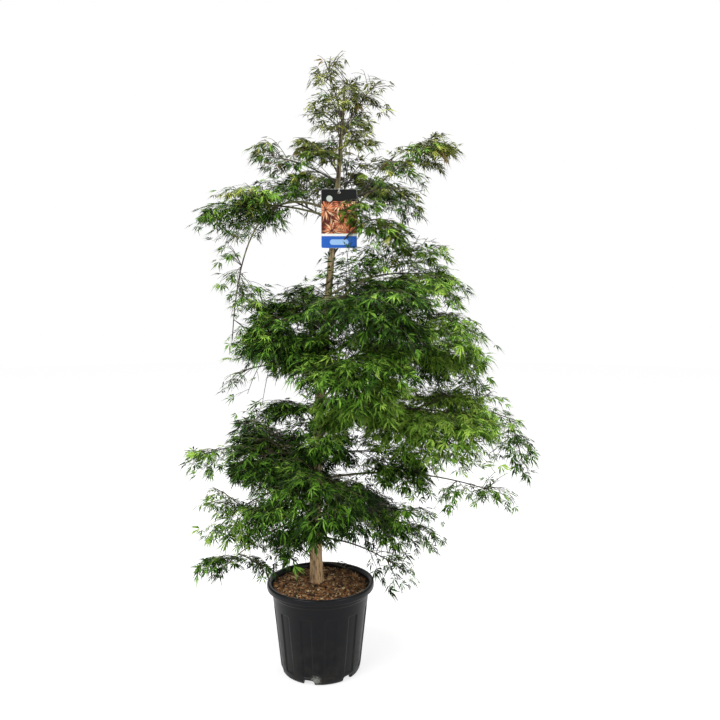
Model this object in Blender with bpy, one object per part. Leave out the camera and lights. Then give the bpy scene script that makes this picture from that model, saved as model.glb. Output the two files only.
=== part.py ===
"""A laceleaf Japanese maple, about 2.3 m tall with its pot, for Blender 4.5.

Run it with: blender --background --python part.py

The plant is one straight-grown leader in a 35 litre nursery pot. Limbs leave the leader at named heights,
arch out and weep, and each one carries a mass of foliage that keeps to its own space. A mass is a stem,
twigs that a seeded rule sends out from it, and five-fingered leaves on the twigs, fused into one solid.
Leaves are larger than life, so that a few hundred of them fill the crown.

Units are metres, +Z is up, and the origin is the middle of the pot's flat underside.
"""

import math
from typing import NamedTuple

import bmesh
import bpy
import numpy as np

# ---------------------------------------------------------------------------------- driving dimensions

GAP = 0.0003  # between two pieces that touch

POT_HEIGHT = 0.343
POT_LIP_RADIUS = 0.2035
POT_LIP_DEPTH = 0.023
POT_LIP_ROUNDING = 0.004
POT_MOUTH_RADIUS = 0.189
POT_COLLAR_RADIUS = 0.1845
POT_FOOT_RADIUS = 0.150
POT_FOOT_ROUNDING = 0.010
POT_WALL = 0.003
POT_FLOOR = 0.004
POT_COLUMNS = 36
PANEL_COUNT = 12
PANEL_DEPTH = 0.003
PANEL_TOP = 0.257
PANEL_FOOT = 0.034
PANEL_SLOPE = 0.004
NOTCH_COUNT = 6
NOTCH_WIDTH = 0.036
NOTCH_HEIGHT = 0.014
NOTCH_DEPTH = 0.020
NOTCH_TURN = 0.25  # how far the first notch stands from the right-hand side, as a share of their spacing

SOIL_TOP = 0.330
SOIL_DOME = 0.004  # how far the mulch falls from the trunk to the wall
SOIL_CROWN = ((0.110, 0.3), (0.045, 0.0))  # radius, and the share of that fall reached there

TRUNK_X = -0.017
TRUNK_Y = 0.020
TRUNK_TOP = 2.195
TRUNK_LEAN = 0.112  # how far right the tip stands of the foot
TRUNK_BOW = 0.050
TRUNK_SWAY = 0.014
TRUNK_FOOT_RADIUS = 0.0245
TRUNK_TIP_RADIUS = 0.0035
TRUNK_FLARE = 0.008
FLARE_HEIGHT = 0.050
FLARE_RIDGES = 5
FLARE_RIDGE_HEIGHT = 0.16  # as a share of the radius
TRUNK_SIDES = 10
TRUNK_RINGS = 20

BOUGH_SIDES = 5
BOUGH_RINGS = 6
STEM_RINGS = 5
STEM_END_RADIUS = 0.0017
TWIG_END_RADIUS = 0.0013
LIMB_THICKENING = 0.0075  # radius gained by a limb for each metre of its length, back towards the trunk
LIMB_END = (0.60, 0.60, 0.30)  # how far past its mass's centre a limb ends, as shares of the half size
LEADER_END = (0.12, 0.0, 0.45)

LEAF_FINGERS = (-84.0, -42.0, 0.0, 42.0, 84.0)  # degrees from the leaf's own direction
LEAF_REACH = (0.58, 0.86, 1.0, 0.86, 0.58)  # each finger's length, as a share of the leaf's
LEAF_WEB = 0.44  # how far from the palm the notch between two fingers lies
LEAF_STALK = 0.12
LEAF_HALF_THICKNESS = 0.0065
LEAF_TILT = (-1.1, -0.1)  # the fall of a leaf for each length it goes out, steepest and flattest
LEAF_DROOP = 0.34

FINGER_SHARES = np.linspace(0.0, 1.0, 9)  # where a finger is tested for what it would touch

STRAIGHT_ON = 0.90  # cosine of the most that a shoot turns where it opens into a leaf
LEAF_ROOT_DEPTH = 0.003

CELL_FLATTENING = 1.6  # spaces are shared out as though the crown were this much taller
CELL_MARGIN = 0.004
LEAF_CLEARANCE = 0.013
TWIG_CLEARANCE = 0.005
REACH = 1.20  # how far leaves reach, as a share of their mass's half size
LEAF_HANG = 0.07
TWIG_REACH = 0.66  # how far out in its mass a twig ends; leaves go on from there
TWIG_LEVELS = (0.25, 0.80)  # how high a mass's twigs reach by turns, as shares of its half height
TWIG_PULLS = (1.0, 0.8, 0.6)  # the lengths that a twig is tried at, longest first
TWIG_ARCH = 0.22
SHORTEST_TWIG = 0.030
OWN_CLEARANCE = 0.011  # between leaves of one mass, beyond their roots
LEAF_ATTEMPTS = 26
LEAF_STAGGER = 0.004  # how far along a twig its two side leaves stand from its middle
GOLDEN_ANGLE = math.radians(137.5)
SEED = 20

TAG_WIDTH = 0.130
TAG_HEIGHT = 0.212
TAG_THICKNESS = 0.0012
TAG_CORNER = 0.006
TAG_TOP = 1.806
TAG_X = 0.074
TAG_HOLE_RADIUS = 0.005
TAG_HOLE_DROP = 0.012  # from the card's top edge to the middle of its hole
TAG_STANDOFF = 0.012  # between the trunk and the card
TIE_RADIUS = 0.0013
TIE_STEP = 20  # degrees round the trunk
TIE_SLACK = 0.006  # how far the tie's knot stands off behind the hole


class Mass(NamedTuple):
    """A mass of foliage: its space is an ellipsoid, and its limb leaves the trunk at height root."""

    name: str
    centre: tuple
    half: tuple
    root: float
    arch: float  # how far the limb's control point rises over the straight line
    bough: bool  # the bare part of the limb is a bough of its own
    twigs: int
    leaf: float  # leaf length
    bend: float = 0.5  # how far out the limb's control point lies, as a share of its reach
    end: float = 0.15  # how high in its mass the limb ends, as a share of the half height


MASSES = (
    # leader
    Mass("crown_tip", (0.094, 0.000, 2.232), (0.080, 0.080, 0.085), 0.0, 0.0, False, 3, 0.100),
    Mass("tip_left", (0.028, -0.010, 2.180), (0.075, 0.085, 0.080), 2.05, 0.03, False, 3, 0.100),
    Mass("tip_right", (0.188, 0.010, 2.145), (0.080, 0.085, 0.080), 2.00, 0.04, False, 3, 0.100),
    Mass("collar_front", (0.085, -0.125, 1.960), (0.120, 0.095, 0.110), 1.84, 0.05, False, 4, 0.120),
    Mass("collar_back", (0.110, 0.130, 2.020), (0.115, 0.095, 0.100), 1.88, 0.03, False, 3, 0.120),
    Mass("collar_left", (-0.015, 0.010, 2.000), (0.090, 0.090, 0.070), 1.86, 0.05, False, 3, 0.110),
    # shoulder
    Mass("shoulder_left", (-0.155, 0.000, 1.905), (0.120, 0.110, 0.085), 1.83, 0.04, False, 4, 0.125),
    Mass("shoulder_right", (0.230, 0.010, 1.860), (0.115, 0.120, 0.090), 1.74, 0.05, False, 4, 0.125),
    Mass("right_plume", (0.435, 0.020, 1.945), (0.130, 0.120, 0.090), 1.66, 0.05, True, 4, 0.130),
    Mass("shoulder_back", (0.110, 0.235, 1.860), (0.160, 0.135, 0.100), 1.68, 0.07, False, 4, 0.140),
    Mass("left_arm_inner", (-0.130, 0.090, 1.800), (0.130, 0.120, 0.080), 1.68, 0.05, False, 3, 0.125),
    Mass("left_arm", (-0.300, -0.020, 1.735), (0.155, 0.140, 0.090), 1.70, 0.06, True, 4, 0.135),
    Mass("left_whips", (-0.300, -0.020, 1.420), (0.100, 0.095, 0.190), 1.65, 0.44, True, 5, 0.105, bend=0.90, end=-0.60),
    Mass("right_curtain", (0.270, -0.010, 1.685), (0.135, 0.125, 0.100), 1.56, 0.10, False, 4, 0.130),
    # middle
    Mass("right_shelf", (0.310, -0.050, 1.535), (0.145, 0.140, 0.085), 1.42, 0.09, True, 4, 0.135),
    Mass("right_shelf_tip", (0.460, 0.040, 1.525), (0.110, 0.130, 0.095), 1.36, 0.13, True, 4, 0.125),
    Mass("front_dome", (0.090, -0.250, 1.410), (0.190, 0.160, 0.110), 1.28, 0.09, False, 4, 0.155),
    Mass("left_dome", (-0.165, -0.060, 1.370), (0.180, 0.170, 0.110), 1.24, 0.08, False, 5, 0.150),
    Mass("left_skirt", (-0.190, 0.010, 1.195), (0.155, 0.150, 0.085), 1.10, 0.07, False, 4, 0.140),
    Mass("middle_back", (0.060, 0.270, 1.430), (0.220, 0.175, 0.125), 1.30, 0.09, True, 4, 0.160),
    Mass("right_middle", (0.410, -0.060, 1.310), (0.180, 0.170, 0.095), 1.18, 0.11, True, 5, 0.145),
    Mass("right_middle_tip", (0.550, 0.050, 1.195), (0.130, 0.130, 0.080), 1.07, 0.13, True, 4, 0.130),
    Mass("front_middle", (0.210, -0.260, 1.190), (0.165, 0.155, 0.100), 1.06, 0.09, False, 4, 0.150),
    Mass("right_back", (0.330, 0.310, 1.190), (0.190, 0.170, 0.115), 1.02, 0.11, True, 4, 0.155),
    # lower
    Mass("left_shoulder_low", (-0.130, 0.050, 0.985), (0.145, 0.140, 0.090), 0.88, 0.07, False, 4, 0.140),
    Mass("left_low", (-0.225, -0.050, 0.820), (0.160, 0.160, 0.090), 0.76, 0.08, True, 5, 0.140),
    Mass("left_low_tip", (-0.420, 0.020, 0.790), (0.110, 0.100, 0.065), 0.82, 0.09, True, 3, 0.115),
    Mass("left_weeping", (-0.345, 0.020, 0.610), (0.120, 0.125, 0.125), 0.68, 0.12, True, 5, 0.125, end=-0.10),
    Mass("left_hanging", (-0.365, -0.020, 0.440), (0.120, 0.095, 0.050), 0.58, 0.07, True, 3, 0.110),
    Mass("left_back_low", (-0.190, 0.300, 0.800), (0.185, 0.155, 0.130), 0.70, 0.09, False, 4, 0.155),
    Mass("front_low_left", (-0.130, -0.190, 0.630), (0.145, 0.140, 0.130), 0.53, 0.12, False, 4, 0.145),
    Mass("front_low", (0.085, -0.270, 0.690), (0.140, 0.140, 0.130), 0.60, 0.12, False, 4, 0.145),
    Mass("front_knee", (0.110, -0.250, 0.960), (0.140, 0.130, 0.105), 0.86, 0.08, False, 4, 0.140),
    Mass("right_low", (0.390, -0.060, 1.010), (0.190, 0.170, 0.090), 0.94, 0.08, True, 5, 0.145),
    Mass("right_sweep", (0.680, 0.020, 0.880), (0.140, 0.115, 0.095), 0.99, 0.13, True, 4, 0.130),
    Mass("right_under", (0.400, 0.050, 0.830), (0.175, 0.160, 0.085), 0.81, 0.06, False, 4, 0.140),
    Mass("right_fringe", (0.560, -0.040, 0.705), (0.120, 0.105, 0.075), 0.72, 0.10, True, 4, 0.120),
    Mass("right_weeping", (0.290, -0.040, 0.510), (0.140, 0.135, 0.145), 0.58, 0.16, False, 5, 0.135, end=-0.15),
    Mass("back_low", (0.110, 0.300, 0.600), (0.205, 0.165, 0.120), 0.54, 0.13, False, 4, 0.155),
)

# ---------------------------------------------------------------------------------- small helpers


def unit(vector):
    """The vector at length one."""
    return vector / np.linalg.norm(vector)


def bezier(start, middle, end, share):
    """A point at each share of the way along a curve with one control point."""
    share = np.asarray(share)[:, None]
    return (1 - share) ** 2 * start + 2 * share * (1 - share) * middle + share**2 * end


def sheet_of(columns, rings):
    """Quads between neighbouring rings of points."""
    faces = []
    for ring in range(rings - 1):
        for column in range(columns):
            beside = (column + 1) % columns
            low, high = ring * columns, (ring + 1) * columns
            faces.append((low + column, low + beside, high + beside, high + column))
    return faces


def bezier_heading(start, middle, end, share):
    """The curve's direction at one share of the way along it."""
    return unit((1 - share) * (middle - start) + share * (end - middle))


def tube(path, radii, sides, first=None, last=None):
    """A closed tube along path, as points and faces. Its flat ends face along first and last if given."""
    path = np.asarray(path, float)
    along = np.gradient(path, axis=0)
    if first is not None:
        along[0] = first
    if last is not None:
        along[-1] = last
    side = np.array((0.05, 0.03, 1.0))
    points = []
    for centre, ahead, radius in zip(path, along, radii):
        ahead = unit(ahead)
        side = unit(side - ahead * (side @ ahead))
        across = np.cross(ahead, side)
        for step in range(sides):
            turn = 2 * math.pi * step / sides
            points.append(centre + radius * (math.cos(turn) * side + math.sin(turn) * across))
    count = (len(path) - 1) * sides
    faces = sheet_of(sides, len(path))
    faces.append(tuple(range(sides))[::-1])
    faces.append(tuple(range(count, count + sides)))
    return np.array(points), faces


def material(name, colour, roughness):
    """A Principled material of one colour."""
    made = bpy.data.materials.new(name)
    made.use_nodes = True
    shader = made.node_tree.nodes["Principled BSDF"]
    shader.inputs["Base Color"].default_value = (*colour, 1.0)
    shader.inputs["Roughness"].default_value = roughness
    made.diffuse_color = (*colour, 1.0)
    return made


def object_of(name, shape, finish=None, collection=None):
    """A mesh object from points and faces, its normals facing out."""
    points, faces = shape
    mesh = bpy.data.meshes.new(name)
    mesh.from_pydata([tuple(map(float, point)) for point in points], [], faces)
    shell = bmesh.new()
    shell.from_mesh(mesh)
    bmesh.ops.recalc_face_normals(shell, faces=shell.faces)
    shell.to_mesh(mesh)
    shell.free()
    made = bpy.data.objects.new(name, mesh)
    (collection or bpy.context.scene.collection).objects.link(made)
    if finish is not None:
        mesh.materials.append(finish)
    return made


def apply_modifiers(obj):
    """Leaves the object with the mesh that its modifiers make, and no modifiers."""
    graph = bpy.context.evaluated_depsgraph_get()
    made = bpy.data.meshes.new_from_object(obj.evaluated_get(graph))
    obj.modifiers.clear()
    obj.data = made


def keep_largest_shell(obj):
    """Removes every shell but the one with the most faces: walls of sealed hollows, and crumbs."""
    mesh = bmesh.new()
    mesh.from_mesh(obj.data)
    unseen = set(mesh.faces)
    shells = []
    while unseen:
        waiting = [unseen.pop()]
        shell = set(waiting)
        while waiting:
            for edge in waiting.pop().edges:
                for face in edge.link_faces:
                    if face not in shell:
                        shell.add(face)
                        waiting.append(face)
        unseen -= shell
        shells.append(shell)
    largest = max(shells, key=len)
    spare = [face for face in mesh.faces if face not in largest]
    bmesh.ops.delete(mesh, geom=spare, context="FACES")
    mesh.to_mesh(obj.data)
    mesh.free()


def join_and_cut(name, pieces, finish, cutter):
    """One solid from overlapping pieces, cut back from the trunk by the cutter."""
    whole = object_of(name, pieces[0], finish)
    others = bpy.data.collections.new(name + "_pieces")
    bpy.context.scene.collection.children.link(others)
    for number, piece in enumerate(pieces[1:]):
        object_of(f"{name}_piece_{number}", piece, finish, others)
    if len(pieces) > 1:
        join = whole.modifiers.new("join", "BOOLEAN")
        join.operation = "UNION"
        join.operand_type = "COLLECTION"
        join.collection = others
        join.solver = "EXACT"
        apply_modifiers(whole)
    cut = whole.modifiers.new("seat", "BOOLEAN")
    cut.operation = "DIFFERENCE"
    cut.object = cutter
    cut.solver = "EXACT"
    apply_modifiers(whole)
    for piece in list(others.objects):
        bpy.data.objects.remove(piece)
    bpy.data.collections.remove(others)
    keep_largest_shell(whole)
    return whole


# ---------------------------------------------------------------------------------- trunk


def trunk_point(height):
    """The middle of the trunk at a height above the floor."""
    share = (height - SOIL_TOP) / (TRUNK_TOP - SOIL_TOP)
    bow = TRUNK_BOW * math.sin(math.pi * share) * max(1 - share, 0.0) ** 1.2
    sway = TRUNK_SWAY * math.sin(2 * math.pi * share)
    return np.array((TRUNK_X + TRUNK_LEAN * share - bow, TRUNK_Y + sway, height))


def trunk_radius(height):
    """The trunk's radius at a height, without the ridges of its flare."""
    share = min(max((height - SOIL_TOP) / (TRUNK_TOP - SOIL_TOP), 0.0), 1.0)
    taper = (TRUNK_FOOT_RADIUS - TRUNK_TIP_RADIUS) * (1 - share) ** 0.85
    return TRUNK_TIP_RADIUS + taper + TRUNK_FLARE * math.exp(-(height - SOIL_TOP) / FLARE_HEIGHT)


def trunk_shape(swell=0.0):
    """The trunk with its root flare, or a copy of it that is thicker all round by swell."""
    points = []
    foot = SOIL_TOP + GAP - swell
    for ring in range(TRUNK_RINGS):
        share = (ring / (TRUNK_RINGS - 1)) ** 1.25
        height = foot + (TRUNK_TOP + swell - foot) * share
        centre = trunk_point(height)
        flare = math.exp(-(height - SOIL_TOP) / FLARE_HEIGHT)
        for step in range(TRUNK_SIDES):
            turn = 2 * math.pi * step / TRUNK_SIDES
            ridge = 1 + FLARE_RIDGE_HEIGHT * flare * math.cos(FLARE_RIDGES * turn)
            radius = trunk_radius(height) * ridge + swell
            points.append(centre + radius * np.array((math.cos(turn), math.sin(turn), 0.0)))
    last = (TRUNK_RINGS - 1) * TRUNK_SIDES
    faces = sheet_of(TRUNK_SIDES, TRUNK_RINGS)
    faces.append(tuple(range(TRUNK_SIDES))[::-1])
    faces.append(tuple(range(last, last + TRUNK_SIDES)))
    return np.array(points), faces


# ---------------------------------------------------------------------------------- pot and soil


def panel_depth(column, height):
    """How deep the pot's wall is pressed in at a column of points: panels and ribs take turns."""
    per_panel = POT_COLUMNS // PANEL_COUNT
    inside = column % per_panel < (per_panel + 1) // 2
    return PANEL_DEPTH if inside and PANEL_FOOT < height < PANEL_TOP else 0.0


def wall_radius(height):
    """The outer radius of the tapering wall below the lip."""
    share = height / (POT_HEIGHT - POT_LIP_DEPTH)
    return POT_FOOT_RADIUS + (POT_COLLAR_RADIUS - POT_FOOT_RADIUS) * share


def pot_inside():
    """The profile of the pot's inner face, from its mouth down to its floor."""
    pressed = POT_WALL + PANEL_DEPTH
    return [
        (POT_MOUTH_RADIUS, POT_HEIGHT),
        (POT_COLLAR_RADIUS - POT_WALL, POT_HEIGHT - POT_LIP_DEPTH - 2 * POT_WALL),
        (wall_radius(PANEL_TOP) - pressed, PANEL_TOP),
        (wall_radius(PANEL_FOOT) - pressed, PANEL_FOOT),
        (POT_FOOT_RADIUS - 2 * pressed, POT_FLOOR + NOTCH_HEIGHT),
    ]


def make_pot(finish):
    """Makes a turned nursery pot with a rolled lip, pressed panels and drain notches at its foot."""
    lip_foot = POT_HEIGHT - POT_LIP_DEPTH
    wall = (
        POT_FOOT_ROUNDING,
        PANEL_FOOT,
        PANEL_FOOT + PANEL_SLOPE,
        PANEL_TOP - PANEL_SLOPE,
        PANEL_TOP,
        lip_foot,
    )
    outside = [
        (POT_FOOT_RADIUS - POT_FOOT_ROUNDING, 0.0),
        *((wall_radius(height), height) for height in wall),
        (POT_LIP_RADIUS - POT_LIP_ROUNDING / 2, lip_foot),
        (POT_LIP_RADIUS, lip_foot + POT_LIP_ROUNDING),
        (POT_LIP_RADIUS, POT_HEIGHT - POT_LIP_ROUNDING),
        (POT_LIP_RADIUS - POT_LIP_ROUNDING, POT_HEIGHT),
    ]
    inside = pot_inside()
    points = []
    for ring, (radius, height) in enumerate(outside + inside):
        for column in range(POT_COLUMNS):
            turn = 2 * math.pi * (column + 1) / POT_COLUMNS
            reach = radius - (panel_depth(column, height) if ring < len(outside) else 0.0)
            points.append((reach * math.cos(turn), reach * math.sin(turn), height))
    rings = len(outside) + len(inside)
    faces = sheet_of(POT_COLUMNS, rings)
    faces.append(tuple(range(POT_COLUMNS))[::-1])
    last = (rings - 1) * POT_COLUMNS
    faces.append(tuple(range(last, last + POT_COLUMNS)))
    pot = object_of("pot", (points, faces), finish)
    for number in range(NOTCH_COUNT):
        turn = 2 * math.pi * (number + NOTCH_TURN) / NOTCH_COUNT
        bpy.ops.mesh.primitive_cube_add(size=1.0)
        notch = bpy.context.object
        notch.name = f"notch_{number}"
        notch.scale = (2 * NOTCH_DEPTH, NOTCH_WIDTH, 2 * NOTCH_HEIGHT)
        notch.location = (POT_FOOT_RADIUS * math.cos(turn), POT_FOOT_RADIUS * math.sin(turn), 0.0)
        notch.rotation_euler = (0.0, 0.0, turn)
        notch.hide_render = True
        notch.display_type = "WIRE"
        cut = pot.modifiers.new(f"notch_{number}", "BOOLEAN")
        cut.operation = "DIFFERENCE"
        cut.solver = "EXACT"
        cut.object = notch


def make_soil(finish):
    """Makes the potting mix that fills the pot, with its mulch gently domed round the trunk."""
    flat = math.cos(math.pi / POT_COLUMNS)  # the wall's faces stand nearer than its corners
    mouth, *lower = pot_inside()
    edge = SOIL_TOP - SOIL_DOME
    share = (edge - lower[0][1]) / (mouth[1] - lower[0][1])
    wall = lower[::-1] + [(lower[0][0] + (mouth[0] - lower[0][0]) * share, edge)]
    profile = [(radius * flat - GAP, height + GAP) for radius, height in wall]
    profile += [(radius, SOIL_TOP - fall * SOIL_DOME) for radius, fall in SOIL_CROWN]
    columns = POT_COLUMNS // 2
    points = []
    for radius, height in profile:
        for column in range(columns):
            turn = 2 * math.pi * column / columns
            points.append((radius * math.cos(turn), radius * math.sin(turn), height))
    faces = sheet_of(columns, len(profile))
    faces.append(tuple(range(columns))[::-1])
    last = (len(profile) - 1) * columns
    faces.append(tuple(range(last, last + columns)))
    object_of("soil", (points, faces), finish)


# ---------------------------------------------------------------------------------- limbs


def limb_curve(mass):
    """The three points of a mass's limb: on the trunk's axis, its control point, and deep in the mass."""
    centre = np.array(mass.centre)
    half = np.array(mass.half)
    if mass.root == 0.0:
        start = trunk_point(TRUNK_TOP) + (0.0, 0.0, GAP)
        return start, (start + centre) / 2, centre + half * LEADER_END
    start = trunk_point(mass.root)
    outward = unit((centre - start) / half)
    end = centre + half * outward * LIMB_END + (0.0, 0.0, mass.end * half[2])
    return start, start + mass.bend * (end - start) + (0.0, 0.0, mass.arch), end


def limb_split(mass):
    """The share of the limb that is a bare bough: up to where it enters the mass's space."""
    if not mass.bough:
        return 0.0
    shares = np.linspace(0.0, 1.0, 101)
    path = bezier(*limb_curve(mass), shares)
    inside = np.linalg.norm((path - mass.centre) / mass.half, axis=1) < 1.0
    return float(shares[np.argmax(inside)])


def limb_radius(mass, share):
    """The radius of a limb at a share of its length: stout at the trunk and fine at its end."""
    start, middle, end = limb_curve(mass)
    length = np.linalg.norm(middle - start) + np.linalg.norm(end - middle)
    return STEM_END_RADIUS + LIMB_THICKENING * length * (1 - share) ** 1.1


def split_heading(mass):
    """The limb's direction where its bough ends and its stem begins."""
    return bezier_heading(*limb_curve(mass), limb_split(mass))


def bough_path(mass):
    """Points and radii of the bare part of a limb."""
    shares = np.linspace(0.0, limb_split(mass), BOUGH_RINGS)
    return bezier(*limb_curve(mass), shares), [limb_radius(mass, share) for share in shares]


def stem_path(mass):
    """Points and radii of the part of a limb inside its mass, clear of the bough's tip."""
    split = limb_split(mass)
    shares = np.linspace(split, 1.0, STEM_RINGS + 1)
    path = bezier(*limb_curve(mass), shares)
    if split:
        path[0] += GAP * split_heading(mass)
    return path, [limb_radius(mass, share) for share in shares]


def all_limbs():
    """Every limb as runs of short straight pieces: start, end, radius and owner, the trunk's owner being ''."""
    runs = []
    heights = np.linspace(SOIL_TOP, TRUNK_TOP, 40)
    trunk = np.array([trunk_point(height) for height in heights])
    runs += [
        (a, b, trunk_radius(height), "trunk") for a, b, height in zip(trunk, trunk[1:], heights)
    ]
    for mass in MASSES:
        if mass.bough:
            path, radii = bough_path(mass)
            runs += [(a, b, r, "bough " + mass.name) for a, b, r in zip(path, path[1:], radii)]
        path, radii = stem_path(mass)
        runs += [(a, b, r, "stem " + mass.name) for a, b, r in zip(path, path[1:], radii)]
    return runs


class Obstacles:
    """What twigs and leaves keep clear of: every limb but their own stem, the pot and the tag."""

    def __init__(self, own):
        runs = [run for run in all_limbs() if run[3] != "stem " + own]
        self.start = np.array([run[0] for run in runs])
        self.span = np.array([run[1] for run in runs]) - self.start
        self.radius = np.array([run[2] for run in runs])

    def clear(self, points, margin):
        """Whether every point is at least margin from every limb, and outside the pot and tag."""
        offset = points[:, None] - self.start
        share = np.einsum("pri,ri->pr", offset, self.span) / np.sum(self.span**2, axis=1)
        nearest = offset - np.clip(share, 0, 1)[..., None] * self.span
        if (np.linalg.norm(nearest, axis=2) < self.radius + margin).any():
            return False
        beside_pot = np.hypot(points[:, 0], points[:, 1]) > POT_LIP_RADIUS + margin
        if not (beside_pot | (points[:, 2] > POT_HEIGHT + margin)).all():
            return False
        beside_tag = np.abs(points[:, 0] - TAG_X) > TAG_WIDTH / 2 + margin
        above_tag = np.abs(points[:, 2] - TAG_TOP + TAG_HEIGHT / 2) > TAG_HEIGHT / 2 + 2 * margin
        return bool((beside_tag | above_tag | (points[:, 1] > TRUNK_Y)).all())


def in_own_space(points, mass):
    """Whether every point is in the mass's share of the crown. Shares meet in planes, so whole leaves fit."""
    stretch = np.array((1.0, 1.0, CELL_FLATTENING))
    centres = np.array([other.centre for other in MASSES]) * stretch
    sizes = np.array([np.prod(other.half) ** (1 / 3) for other in MASSES])
    own = MASSES.index(mass)
    power = np.sum((points[:, None] * stretch - centres) ** 2, axis=2) - sizes**2
    apart = 2 * np.linalg.norm(centres - centres[own], axis=1)
    apart[own] = 1.0
    lead = (power - power[:, own : own + 1]) / apart
    lead[:, own] = 1.0
    return bool((lead > CELL_MARGIN).all())


def apart(points, others, margin):
    """Whether no point is nearer than margin to any of the others."""
    return bool((np.sum((points[:, None] - others) ** 2, axis=2) > margin**2).all())


def in_reach(points, mass, hang=0.0):
    """Whether every point is in the mass's round-cornered box, which reaches down by hang more."""
    lower = np.array((0.0, 0.0, hang / 2))
    share = (points - mass.centre + lower) / (REACH * np.array(mass.half) + lower)
    return bool((np.sum(share**4, axis=1) < 1.0).all())


# ---------------------------------------------------------------------------------- leaves and masses


class Leaf:
    """A five-fingered leaf that droops from its root. Its edge runs from finger to finger, left to right."""

    def __init__(self, root, forward, length):
        self.root = root
        self.forward = unit(forward)
        self.across = unit(np.cross(self.forward, (0.0, 0.0, 1.0)))
        self.normal = np.cross(self.across, self.forward)
        palm = root + self.forward * LEAF_STALK * length
        thick = self.normal * LEAF_HALF_THICKNESS * length
        self.middles = [palm + thick, palm - thick]
        self.edge = []
        for number, (angle, reach) in enumerate(zip(LEAF_FINGERS, LEAF_REACH)):
            spots = [(angle, reach)]
            if number + 1 < len(LEAF_FINGERS):
                spots.append(((angle + LEAF_FINGERS[number + 1]) / 2, LEAF_WEB))
            for turn, out in spots:
                turn = math.radians(turn)
                point = palm + length * out * (math.cos(turn) * self.forward + math.sin(turn) * self.across)
                point[2] -= LEAF_DROOP * length * out**2
                self.edge.append(point)
        fingers = [palm + (tip - palm) * share for tip in self.edge[::2] for share in FINGER_SHARES]
        webs = [(a + b) / 2 for a, b in zip(self.edge, self.edge[1:])]
        self.samples = np.array(fingers + webs + self.edge[1::2])

    def alone(self):
        """The leaf as points and faces, its root a point."""
        count = len(self.edge) + 1
        faces = []
        for spot in range(count):
            after = (spot + 1) % count
            faces.append((spot, after, count))
            faces.append((after, spot, count + 1))
        return np.array([self.root, *self.edge, *self.middles]), faces

    def on_shoot(self, shoot, radius):
        """A three-sided shoot whose far end opens into the leaf, in place of the shoot's flat end."""
        points, faces = shoot
        corners = self.root + radius * np.array(
            [
                math.cos(turn) * self.normal + math.sin(turn) * self.across
                for turn in (0.0, 2 * math.pi / 3, 4 * math.pi / 3)
            ]
        )
        first = len(points) - 3
        turns = [np.linalg.norm(np.roll(corners, turn, axis=0) - points[first:]) for turn in range(3)]
        turn = int(np.argmin(turns))
        points[first:] = np.roll(corners, turn, axis=0)
        top, right, left = (first + (corner + turn) % 3 for corner in range(3))
        upper = len(points) + len(self.edge)
        lower = upper + 1
        rim = [left, *range(len(points), upper), right]
        leaf = [(a, b, upper) for a, b in zip(rim, rim[1:])] + [(right, top, upper), (top, left, upper)]
        leaf += [(b, a, lower) for a, b in zip(rim, rim[1:])] + [(left, right, lower)]
        return np.vstack([points, self.edge, self.middles]), faces[:-1] + leaf


def twig_targets(mass, rng):
    """Where a mass's twigs reach: spread round its space by the golden angle, high and low by turns."""
    turn = rng.uniform(0, 2 * math.pi)
    for number in range(mass.twigs):
        turn += GOLDEN_ANGLE
        level = TWIG_LEVELS[number % 2]
        reach = TWIG_REACH * rng.uniform(0.9, 1.1)
        yield np.array(mass.centre) + np.array(mass.half) * (
            reach * math.cos(turn),
            reach * math.sin(turn),
            level,
        )


def leaf_places(stem, twigs):
    """Each place for a side leaf, as its root and direction: on both sides of each twig, then of the stem."""
    for path in (*twigs, stem[-3:], stem[-4:-1], stem[-5:-2]):
        ahead = unit(path[2] - path[0])
        side = unit(np.cross(ahead, (0.0, 0.0, 1.0)))
        yield path[1] + LEAF_STAGGER * ahead, side + 0.1 * ahead
        yield path[1] - LEAF_STAGGER * ahead, 0.1 * ahead - side


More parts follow.
